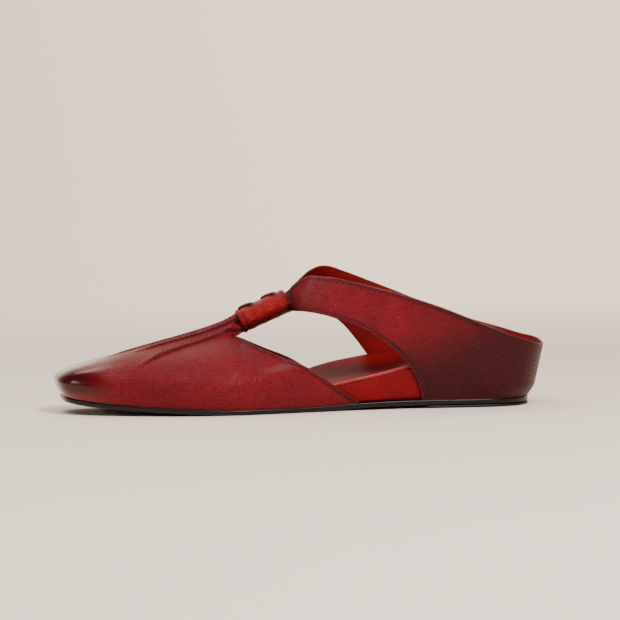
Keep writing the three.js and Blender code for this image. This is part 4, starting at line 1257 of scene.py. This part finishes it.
def split_runs(line: Array, keep: Array) -> list[Array]:
    """Parts of a closed line where a condition holds, each in order."""
    shortest = 13
    if keep.all():
        return [line]
    start = int(np.argmin(keep))
    line, keep = np.roll(line, -start, axis=0), np.roll(keep, -start)
    runs: list[list[Array]] = [[]]
    for point, wanted in zip(line, keep):
        if wanted:
            runs[-1].append(point)
        elif runs[-1]:
            runs.append([])
    return [np.array(run) for run in runs if len(run) >= shortest]


@dataclass
class Stitching:
    """Rows of waxed thread, laid along lines by Geometry Nodes."""

    thread: bpy.types.Material
    pitch: float = 2.3
    length: float = 1.7
    thickness: float = 0.36

    def tree(self) -> bpy.types.NodeTree:
        """The node tree that turns lines into rows of stitches."""
        tree = bpy.data.node_groups.new("stitches_along_line", "GeometryNodeTree")
        tree.interface.new_socket("Geometry", in_out="INPUT", socket_type="NodeSocketGeometry")
        for name in ("Pitch", "Stitch Length", "Thread Thickness"):
            tree.interface.new_socket(name, in_out="INPUT", socket_type="NodeSocketFloat")
        tree.interface.new_socket("Geometry", in_out="OUTPUT", socket_type="NodeSocketGeometry")
        given = add_node(tree, "NodeGroupInput").outputs

        def half_of(name: str) -> bpy.types.NodeSocket:
            return add_node(tree, "ShaderNodeMath", {0: given[name], 1: 0.5}, operation="MULTIPLY").outputs[0]

        curve = add_node(tree, "GeometryNodeMeshToCurve", {"Mesh": given["Geometry"]}).outputs["Curve"]
        spaced = {"Curve": curve, "Length": given["Pitch"]}
        even = add_node(tree, "GeometryNodeResampleCurve", spaced, mode="LENGTH")
        tangent = add_node(tree, "GeometryNodeInputTangent").outputs["Tangent"]
        turned = add_node(tree, "FunctionNodeAlignEulerToVector", {"Vector": tangent}, axis="X")
        thin = half_of("Thread Thickness")
        size = add_node(tree, "ShaderNodeCombineXYZ", {"X": half_of("Stitch Length"), "Y": thin, "Z": thin})
        bead = add_node(tree, "GeometryNodeMeshUVSphere", {"Segments": 7, "Rings": 5, "Radius": 1.0})
        placed = add_node(
            tree,
            "GeometryNodeInstanceOnPoints",
            {
                "Points": even.outputs["Curve"],
                "Instance": bead.outputs["Mesh"],
                "Rotation": turned.outputs["Rotation"],
                "Scale": size.outputs["Vector"],
            },
        )
        real = add_node(tree, "GeometryNodeRealizeInstances", {"Geometry": placed.outputs["Instances"]})
        wanted = {"Geometry": real.outputs["Geometry"], "Material": self.thread}
        dressed = add_node(tree, "GeometryNodeSetMaterial", wanted)
        add_node(tree, "NodeGroupOutput", {"Geometry": dressed.outputs["Geometry"]})
        return tree

    def build(self, name: str, lines: Sequence[Array], slot: str) -> None:
        """Lays the stitches along the lines as one piece.

        Args:
            name: the piece's name.
            lines: open lines in the last's millimetres.
            slot: not used.
        """
        points, edges = [], []
        for line in lines:
            start = len(points)
            points += [tuple(p) for p in to_row(line)]
            edges += [(start + i, start + i + 1) for i in range(len(line) - 1)]
        mesh = bpy.data.meshes.new(name + "_line")
        mesh.from_pydata(points, edges, [])
        guide = link_object(name + "_line", mesh)
        modifier = guide.modifiers.new("stitches", "NODES")
        modifier.node_group = self.tree()
        wanted = {"Pitch": self.pitch, "Stitch Length": self.length, "Thread Thickness": self.thickness}
        for item in modifier.node_group.interface.items_tree:
            if item.item_type == "SOCKET" and item.in_out == "INPUT" and item.name in wanted:
                modifier[item.identifier] = wanted[item.name] * MM
        bpy.context.view_layer.update()
        evaluated = guide.evaluated_get(bpy.context.evaluated_depsgraph_get())
        real = bpy.data.meshes.new_from_object(evaluated)
        real.name = name
        shade_smooth(real)
        bpy.data.objects.remove(guide)
        settle(link_object(name, real))


@dataclass
class Keeper:
    """The rolled leather sleeve that holds the tab, with its turned rims and thong loops."""

    leather: bpy.types.Material
    lining: bpy.types.Material
    thong: bpy.types.Material
    around: int = 120
    along: int = 90
    bore_rows: int = 24
    lip_steps: int = 8
    front_rim: tuple[float, float, float] = (1.3, 0.6, 0.4)
    rear_rim: tuple[float, float, float] = (1.4, 0.8, 0.2)
    groove: tuple[float, float, float] = (2.7, 0.45, -0.28)
    plain_end: float = 3.0
    thong_places: tuple[float, float] = (0.27, -0.2)
    thong_diameter: float = 2.1
    thong_reach: float = 3.4
    thong_spread: float = 2.6
    cord_sides: int = 18

    def build(self) -> None:
        """Builds the sleeve and the two loops."""
        self._sleeve()
        for node, place in zip(("thong_front", "thong_rear"), self.thong_places):
            self._cord(node, self._thong_path(place))

    @staticmethod
    def _section(turn: Array, inset: float) -> tuple[Array, Array]:
        """Outline of the sleeve's cross-section, moved in by a distance."""
        power = 2 / KEEPER_SQUARENESS
        cos, sin = np.cos(turn), np.sin(turn)
        aside = np.sign(cos) * np.abs(cos) ** power * (KEEPER_WIDTH / 2 - inset)
        up = np.sign(sin) * np.abs(sin) ** power * (KEEPER_HEIGHT / 2 - inset)
        return aside, up

    def _stations(self) -> list[tuple[float, float]]:
        """Places along the sleeve with the section's inset: outer face, front lip, bore, rear lip."""
        lip = KEEPER_WALL / 2
        end = KEEPER_LENGTH / 2 - lip
        turns = [math.pi * k / self.lip_steps for k in range(1, self.lip_steps)]
        outer = [(float(run), 0.0) for run in np.linspace(-end, end, self.along)]
        front = [(end + lip * math.sin(turn), lip * (1 - math.cos(turn))) for turn in turns]
        bore = [(float(run), KEEPER_WALL) for run in np.linspace(end, -end, self.bore_rows)]
        rear = [(-end - lip * math.sin(turn), lip * (1 + math.cos(turn))) for turn in turns]
        return outer + front + bore + rear

    def _sleeve(self) -> None:
        """The sleeve: outer face with turned rims and wrinkles, rounded mouths, inner face."""
        outside_share, inner_share = 0.45, 0.9
        turn = np.linspace(0, 2 * np.pi, self.around, endpoint=False)
        stations = self._stations()
        points, burnish, parts = [], [], []
        for run, inset in stations:
            aside, up = self._section(turn, inset)
            lift = self._relief(run, turn) if inset < KEEPER_WALL * outside_share else 0.0
            scale = 1 + lift / np.hypot(aside, up)
            points.append(keeper_place(np.full_like(turn, run), aside * scale, up * scale))
            burnish.append(self._painted_shade(run, turn, aside))
            parts += [0 if inset < KEEPER_WALL * inner_share else 1] * self.around
        faces = lattice_faces(len(stations), self.around, wrap_columns=True, wrap_rows=True)
        skin = Skin(np.concatenate(points), faces, parts, {"burnish": np.concatenate(burnish)})
        settle(make_object("keeper_leather", skin, (self.leather, self.lining)), ["keeper"])

    def _painted_shade(self, run: float, turn: Array, aside: Array) -> Array:
        """How dark the sleeve is painted: painted shade in its groove, underneath and at the thongs' holes,
        which are not cut, and darker at its rear.
        """
        half = KEEPER_LENGTH / 2
        # Painted shade in the groove behind the front rim, on the lower side and at the thongs' holes; darker
        # at the rear too.
        line = 0.45 * bell(run, half - self.groove[0], 0.5)
        rear = 0.5 * bell(run, -half, 2.2)
        under = 0.55 * smooth(-np.sin(turn), 0.02, 0.3) + 0.45 * smooth(-np.sin(turn), 0.7, 0.95)
        hole_shade = np.zeros_like(aside)
        for place in self.thong_places:
            for end in (-1, 1):
                along = place * KEEPER_LENGTH - end * self.thong_reach
                hole_dark = bell(run, along, 1.7) * bell(aside, end * self.thong_spread * 1.7, 1.5)
                hole_shade = np.maximum(hole_shade, 0.7 * hole_dark)
        return np.clip(line + rear + 0.85 * under + hole_shade + 0.05, 0, 1)

    def _relief(self, run: float, turn: Array) -> Array:
        """Raised rims, the groove behind the front one, wandering wrinkles and a long fold on the side."""
        half = KEEPER_LENGTH / 2
        sin, cos = np.sin(turn), np.cos(turn)
        rings = 0.0
        for end, (inset, width, height) in ((1, self.front_rim), (-1, self.rear_rim), (1, self.groove)):
            rings += height * bell(run, end * (half - inset), width)
        wave = 0.24 * np.sin(run * 0.55 + 2.4 * sin + 1.1) * np.sin(2.0 * turn + 0.35 * run)
        wave += 0.16 * np.sin(run * 0.95 - 3.3 * cos + 0.4)
        wave += 0.07 * np.sin(run * 1.9 + 5.0 * turn)
        wave *= 0.3 + 0.7 * smooth(sin, -0.75, 0.2)
        wave += 0.32 * bell(sin, 0.06 * np.sin(run * 0.8), 0.16)
        return rings + wave * (1 - bell(half - abs(run), 0.0, self.plain_end))

    def _thong_path(self, place: float) -> Array:
        """Centre line of a loop, from under the leather up and over and down again."""
        steps, passes = 41, 4
        stand = self.thong_diameter / 2 - 0.5
        shares = np.array([1, 1, 0.97, 0.72, 0])
        heights = np.array([-1.15, -0.5, 0.25 * stand, 0.8 * stand, stand])
        shares = np.concatenate((shares, -shares[-2::-1]))
        heights = np.concatenate((heights, heights[-2::-1]))
        given, fine = np.linspace(0, 1, len(shares)), np.linspace(0, 1, steps)
        share, over = np.interp(fine, given, shares), np.interp(fine, given, heights)
        eased_line(share, passes)
        eased_line(over, passes)
        aside = share * self.thong_spread
        rounded = (1 - np.abs(2 * aside / KEEPER_WIDTH) ** KEEPER_SQUARENESS) ** (1 / KEEPER_SQUARENESS)
        up = KEEPER_HEIGHT / 2 * rounded + over
        return keeper_place(place * KEEPER_LENGTH - share * self.thong_reach, aside, up)

    def _cord(self, node: str, path: Array) -> None:
        """A slightly flattened round cord along a path, closed at both ends."""
        flattened = (1.05, 0.9)
        sides = self.cord_sides
        ahead = np.gradient(path, axis=0)
        ahead /= np.linalg.norm(ahead, axis=1, keepdims=True)
        side = np.cross(ahead, np.array([SIN_SLOPE, 0.0, COS_SLOPE]))
        side /= np.linalg.norm(side, axis=1, keepdims=True)
        over = np.cross(side, ahead)
        turn = np.linspace(0, 2 * np.pi, sides, endpoint=False)[:, None]
        wide, tall = (self.thong_diameter / 2 * share for share in flattened)
        rings = [p + s * np.cos(turn) * wide + o * np.sin(turn) * tall for p, s, o in zip(path, side, over)]
        points = np.concatenate([*rings, path[:1], path[-1:]])
        faces = lattice_faces(len(path), sides, wrap_rows=True)
        first, last = len(points) - 2, len(points) - 1
        end = (len(path) - 1) * sides
        for k in range(sides):
            m = (k + 1) % sides
            faces += [(k, first, m), (end + m, last, end + k)]
        skin = Skin(points, faces, [0] * len(faces), {"burnish": np.full(len(points), 0.45)})
        settle(make_object(node + "_cord", skin, (self.thong,)), [node])


def plan_ring(ribs: Ribs, inset: float) -> Array:
    """The sole's outline in plan, moved inwards."""
    along = np.roll(ribs.edge, -1, axis=0) - np.roll(ribs.edge, 1, axis=0)
    out = np.stack((-along[:, 1], along[:, 0]), axis=1)
    out /= np.linalg.norm(out, axis=1, keepdims=True)
    if np.sum(out * (ribs.edge - np.array([SOLE_LENGTH / 2, 0.0]))) < 0:
        out = -out
    return ribs.edge - out * inset


def even_ring(ring: Array, back: int) -> Array:
    """A ring that starts at its back and has an even count, with a point added opposite where needed."""
    ring = np.roll(ring, -back, axis=0)
    middle = len(ring) // 2
    if len(ring) % 2:
        ring = np.insert(ring, middle, (ring[middle - 1] + ring[middle]) / 2, axis=0)
    return ring


def over_sole(over: float) -> HeightOf:
    """Heights a distance over the outsole's underside."""
    return lambda x, y: underside(share_of(x)) + over


def over_bed(over: float) -> HeightOf:
    """Heights a distance over the wedge's top."""
    return lambda x, y: footbed_top(x, y) + over


def level(height: float) -> HeightOf:
    """One height everywhere."""
    return lambda x, y: np.full_like(x, height)


def closed_stack(rings: Sequence[Array], low: HeightOf, high: HeightOf) -> Skin:
    """A closed body from rings stacked upwards, with its two ends filled by cross lanes.

    Args:
        rings: closed rings of points with the same count, mirrored in order about their first point.
        low: height of the lower face over a place in plan.
        high: height of the upper face over a place in plan.

    Returns:
        The closed body: parts are 0 wall, 1 lower face, 2 upper face.
    """
    count = len(rings[0])
    points = [np.concatenate(rings)]
    faces = lattice_faces(len(rings), count, wrap_rows=True)
    parts = [0] * len(faces)
    start = len(rings) * count
    share = np.linspace(0, 1, LANES + 1)[1:-1, None]
    for ring, base, height, part in ((rings[0], 0, low, 1), (rings[-1], start - count, high, 2)):
        rows = []
        for a in range(count // 2 + 1):
            b = (count - a) % count
            if a == b:
                rows.append([base + a] * (LANES + 1))
                continue
            lane = ring[a] * (1 - share) + ring[b] * share
            lane[:, 2] = height(lane[:, 0], lane[:, 1])
            points.append(lane)
            rows.append([base + a, *range(start, start + len(lane)), base + b])
            start += len(lane)
        for one, two in zip(rows, rows[1:]):
            for k in range(LANES):
                corners = (one[k], one[k + 1], two[k + 1], two[k])
                face = without_repeats(corners if part == 1 else corners[::-1])
                if len(set(face)) > 2:
                    faces.append(face)
                    parts.append(part)
    return Skin(np.concatenate(points), faces, parts).turned_out()


# Profiles of the edges from below: insets, each with a share of the outsole's thickness, with a height in
# the top lift or with a height over the sock's underside. The wedge's rows are shares of its height.
OUTSOLE_EDGE = (
    (0.9, 0.0), (0.35, 0.04), (0.08, 0.16), (0.0, 0.34), (0.06, 0.57), (0.0, 0.77), (0.08, 0.89), (0.3, 0.97),
    (0.7, 1.0),
)
LIFT_EDGE = (
    (0.5, 0.0), (0.12, 0.12), (0.0, 0.5), (0.0, TOP_LIFT_THICKNESS - 0.3), (0.3, TOP_LIFT_THICKNESS),
)
SOCK_EDGE_ROLL = ((0.5, 0.0), (0.12, 0.25), (0.0, 0.8), (0.0, 1.3), (0.15, 1.7), (0.55, INSOLE_THICKNESS))
WEDGE_ROWS = (0.0, 0.1, 0.25, 0.4, 0.55, 0.7, 0.85, 0.96, 1.0)


@dataclass
class Bottom:
    """Everything under the foot: outsole, top lift, wedge and insole."""

    sole: bpy.types.Material
    lift: bpy.types.Material
    cover: bpy.types.Material
    sock: bpy.types.Material
    sock_edge: bpy.types.Material
    ribs: Ribs = field(default_factory=lambda: make_ribs(*BOTTOM_RIBS))
    lift_inset: float = 0.15
    cover_inset: float = 0.35
    breast_steps: int = 40
    front_steps: int = 24

    def build(self) -> None:
        """Builds the four pieces from the floor up."""
        self._outsole()
        self._top_lift()
        self._wedge()
        self._insole()

    def _outsole(self) -> None:
        """The outsole, with a rounded and lightly waisted edge."""
        rings = []
        for inset, share in OUTSOLE_EDGE:
            ring = plan_ring(self.ribs, inset)
            rings.append(np.column_stack((ring, underside(share_of(ring[:, 0])) + share * OUTSOLE_THICKNESS)))
        skin = closed_stack(rings, over_sole(0.0), over_sole(OUTSOLE_THICKNESS))
        settle(make_object("outsole_leather", skin, (self.sole,)), ["outsole"])

    def _top_lift(self) -> None:
        """The top lift under the heel, cut straight at the breast."""
        ring = plan_ring(self.ribs, self.lift_inset)
        kept = ring[ring[:, 0] < TOP_LIFT_LENGTH]
        arc = kept[np.argsort(-np.arctan2(kept[:, 1], TOP_LIFT_LENGTH - kept[:, 0]))]
        across = np.linspace(arc[-1][1], arc[0][1], self.breast_steps)[1:-1]
        outline = np.concatenate((arc, np.column_stack((np.full_like(across, TOP_LIFT_LENGTH), across))))
        outline = even_ring(outline, int(np.argmin(outline[:, 0])))
        centre = outline.mean(axis=0)
        away = outline - centre
        length = np.linalg.norm(away, axis=1, keepdims=True)
        rings = []
        for inset, height in LIFT_EDGE:
            placed = centre + away * (1 - inset / length)
            rings.append(np.column_stack((placed, np.full(len(placed), height))))
        skin = closed_stack(rings, level(0.0), level(TOP_LIFT_THICKNESS))
        settle(make_object("top_lift_rubber", skin, (self.lift,)), ["top_lift"])

    def _wall_point(self, height: Array, inset: float) -> Array:
        """Plan places of the last's inside at a height over the feather line, for each rib."""
        at = self.ribs.at
        tall = SECTIONS.curve("ridge", at) - SECTIONS.curve("crest", at) - feather(at)
        share = np.clip(height / tall, 0, 0.98)
        square = SECTIONS.curve("square", at)
        across = (1 - share**square) ** (1 / square)
        points = last_points(self.ribs, across[:, None], share[:, None])[:, 0, :2]
        away = points - self.ribs.spine
        length = np.linalg.norm(away, axis=1, keepdims=True)
        return self.ribs.spine + away * (1 - inset / length)

    def _meeting(self, first: float, inset: float, rise: Callable[[Array], Array]) -> Array:
        """Plan places where a surface meets the last's inside, found in a few steps.

        Args:
            first: inset of the first guess.
            inset: inset of the result from the last's outside.
            rise: the surface's height over the feather line at plan places.

        Returns:
            One place for each rib.
        """
        first_height, steps = 3.0, 3
        place = self._wall_point(np.full(len(self.ribs.edge), first_height), first)
        for _ in range(steps):
            place = self._wall_point(rise(place), inset)
        return place

    def _insole(self) -> None:
        """The insole: a padded sock with a rolled edge that shows in the cut-outs."""
        lowest = 0.2
        base = LEATHER + GAP
        rings = []
        for more, thick in SOCK_EDGE_ROLL:
            surface = over_bed(GAP + thick)

            def rise(place: Array, surface: HeightOf = surface) -> Array:
                x, y = place.T
                return np.maximum(surface(x, y) - feather(share_of(x)), lowest)

            place = self._meeting(base, base + more, rise)
            place[:, 0] = np.minimum(place[:, 0], INSOLE_FRONT * SOLE_LENGTH)
            rings.append(np.column_stack((place, surface(*place.T))))
        skin = closed_stack(rings, over_bed(GAP), over_bed(GAP + INSOLE_THICKNESS))
        piece = make_object("insole_sock", skin, (self.sock_edge, self.sock_edge, self.sock))
        settle(piece, ["insole"])

    def _wedge(self) -> None:
        """The wedge in its smooth leather cover."""
        lowest, near_middle = 0.02, 4.0
        base = LEATHER + GAP + self.cover_inset
        keep = self.ribs.edge[:, 0] < WEDGE_FRONT * SOLE_LENGTH
        first = int(np.argmax(keep))
        order = [i % len(keep) for i in range(first, first + len(keep)) if keep[i % len(keep)]]
        across = np.linspace(0, 1, self.front_steps + 2)[1:-1, None]
        rings = []
        for share in WEDGE_ROWS:

            def rise(place: Array, share: float = share) -> Array:
                x, y = place.T
                return (footbed_top(x, y) - feather(share_of(x))) * share

            place = self._meeting(base, base, lambda place: np.maximum(rise(place), lowest))[order]
            place = np.concatenate((place, place[-1] * (1 - across) + place[0] * across))
            ring = np.column_stack((place, feather(share_of(place[:, 0])) + rise(place)))
            back = np.argmin(np.where(np.abs(ring[:, 1]) < near_middle, ring[:, 0], np.inf))
            rings.append(even_ring(ring, int(back)))
        skin = closed_stack(rings, over_sole(OUTSOLE_THICKNESS + GAP), over_bed(0.0))
        settle(make_object("wedge_cover", skin, (self.cover,)), ["wedge"])


@dataclass(frozen=True)
class SoftBox:
    """A rectangular light: place, aim and sizes in metres, power in watts."""

    name: str
    place: tuple[float, float, float]
    aim: tuple[float, float, float]
    wide: float
    tall: float
    power: float
    colour: str

    def hang(self) -> None:
        """Puts the light in the scene, turned to its aim."""
        data = bpy.data.lights.new(self.name, "AREA")
        data.shape = "RECTANGLE"
        data.size, data.size_y = self.wide, self.tall
        data.energy = self.power
        data.color = linear(self.colour)[:3]
        lamp = link_object(self.name, data)
        lamp.location = self.place
        lamp.rotation_mode = "QUATERNION"
        lamp.rotation_quaternion = (Vector(self.aim) - Vector(self.place)).to_track_quat("-Z", "Y")


SHOE_MIDDLE = (0.0, 0.0, 0.03)
LIGHTS = (
    SoftBox("key", (0.28, -0.82, 0.84), SHOE_MIDDLE, 0.28, 0.2, 11.5, "#fff0ee"),
    SoftBox("sheen", (-0.35, 0.45, 0.95), SHOE_MIDDLE, 0.6, 0.35, 4.0, "#fffaf6"),
    SoftBox("rim", (-1.1, -0.36, 0.3), SHOE_MIDDLE, 0.1, 0.12, 1.2, "#fff8f2"),
    SoftBox("floor_wash", (0.0, -1.1, 1.7), (0.0, -0.7, 0.0), 2.4, 1.4, 31.0, "#fff3e6"),
    SoftBox("far_wash", (0.0, 1.5, 1.3), (0.0, 1.9, 0.0), 3.0, 1.0, 10.0, "#fff2e4"),
    SoftBox("backdrop_wash", (0.9, 0.9, 1.3), (1.1, 2.6, 0.5), 2.2, 0.5, 42.0, "#fff0e2"),
)


@dataclass
class Studio:
    """Pale floor and sweep, soft lights and the camera at the photograph's angle."""

    distance: float = 1.1
    azimuth: float = -7.0
    elevation: float = 2.494
    roll: float = 0.8
    view_width: float = 16.728
    sensor: float = 36.0
    aim: tuple[float, float, float] = (0.00586, 0.0, 0.0507)
    backdrop: str = "#f9f0e4"
    room: str = "#ead9ca"
    room_strength: float = 0.25
    floor_half: float = 6.0
    floor_front: float = -3.0
    floor_back: float = 1.6
    sweep_radius: float = 0.9
    sweep_steps: int = 16
    backdrop_top: float = 4.0

    def build(self) -> None:
        """Builds floor, lights, world and camera."""
        self._camera()
        self._floor()
        for light in LIGHTS:
            light.hang()
        self._world()

    def _camera(self) -> None:
        """Puts the camera on its sphere round the aim, rolled as the photograph is."""
        turn, rise = math.radians(self.azimuth), math.radians(self.elevation)
        back = Vector((math.sin(turn) * math.cos(rise), -math.cos(turn) * math.cos(rise), math.sin(rise)))
        right = (-back).cross(Vector((0, 0, 1))).normalized()
        up = right.cross(-back).normalized()
        spin = math.radians(self.roll)
        x_axis = right * math.cos(spin) - up * math.sin(spin)
        y_axis = right * math.sin(spin) + up * math.cos(spin)
        data = bpy.data.cameras.new("camera")
        data.sensor_width = self.sensor
        data.lens = self.sensor / 2 / math.tan(math.radians(self.view_width) / 2)
        camera = link_object("camera", data)
        place = Matrix((x_axis, y_axis, back)).transposed().to_4x4()
        place.translation = Vector(self.aim) + back * self.distance
        camera.matrix_world = place
        bpy.context.scene.camera = camera

    def _floor(self) -> None:
        """A floor that sweeps up into a plain backdrop."""
        profile = [(self.floor_front, 0.0), (self.floor_back, 0.0)]
        for i in range(1, self.sweep_steps + 1):
            turn = math.pi / 2 * i / self.sweep_steps
            rise = self.sweep_radius * (1 - math.cos(turn))
            profile.append((self.floor_back + self.sweep_radius * math.sin(turn), rise))
        profile.append((self.floor_back + self.sweep_radius, self.backdrop_top))
        points = [(x, y, z) for y, z in profile for x in (-self.floor_half, self.floor_half)]
        faces = [(2 * i, 2 * i + 1, 2 * i + 3, 2 * i + 2) for i in range(len(profile) - 1)]
        mesh = bpy.data.meshes.new("studio_floor")
        mesh.from_pydata(points, [], faces)
        shade_smooth(mesh)
        # Matte paper: the eye sees no gloss on it, only the shoe's soft shadow.
        look = {"Base Color": linear(self.backdrop), "Roughness": 0.9}
        mesh.materials.append(Paint("matte paper backdrop").finished(look))
        link_object("studio_floor", mesh)

    def _world(self) -> None:
        """A weak warm surrounding that fills the shadows."""
        world = bpy.data.worlds.new("studio")
        bpy.context.scene.world = world
        world.use_nodes = True
        tree = world.node_tree
        tree.nodes.clear()
        look = {"Color": linear(self.room), "Strength": self.room_strength}
        glow = add_node(tree, "ShaderNodeBackground", look)
        add_node(tree, "ShaderNodeOutputWorld", {"Surface": glow.outputs[0]})


def main() -> None:
    """Builds the studio and the shoe in order."""
    logging.basicConfig(level=logging.INFO, format="%(message)s")
    Studio().build()
    lining = LINING.make()
    upper = Upper(CALF.make(), lining, CUT_EDGE.make())
    upper.build()
    stitching = Stitching(THREAD.make())
    stitching.build("edge_stitches", upper.stitch_lines(), "upper")
    stitching.build("pleat_stitches", upper.tuck_lines(), "upper")
    Keeper(LIT_KEEPER_CALF.make(), lining, THONG.make()).build()
    Bottom(SOLE.make(), RUBBER.make(), COVER.make(), SOCK.make(), SOCK_EDGE.make()).build()


if __name__ == "__main__":
    main()
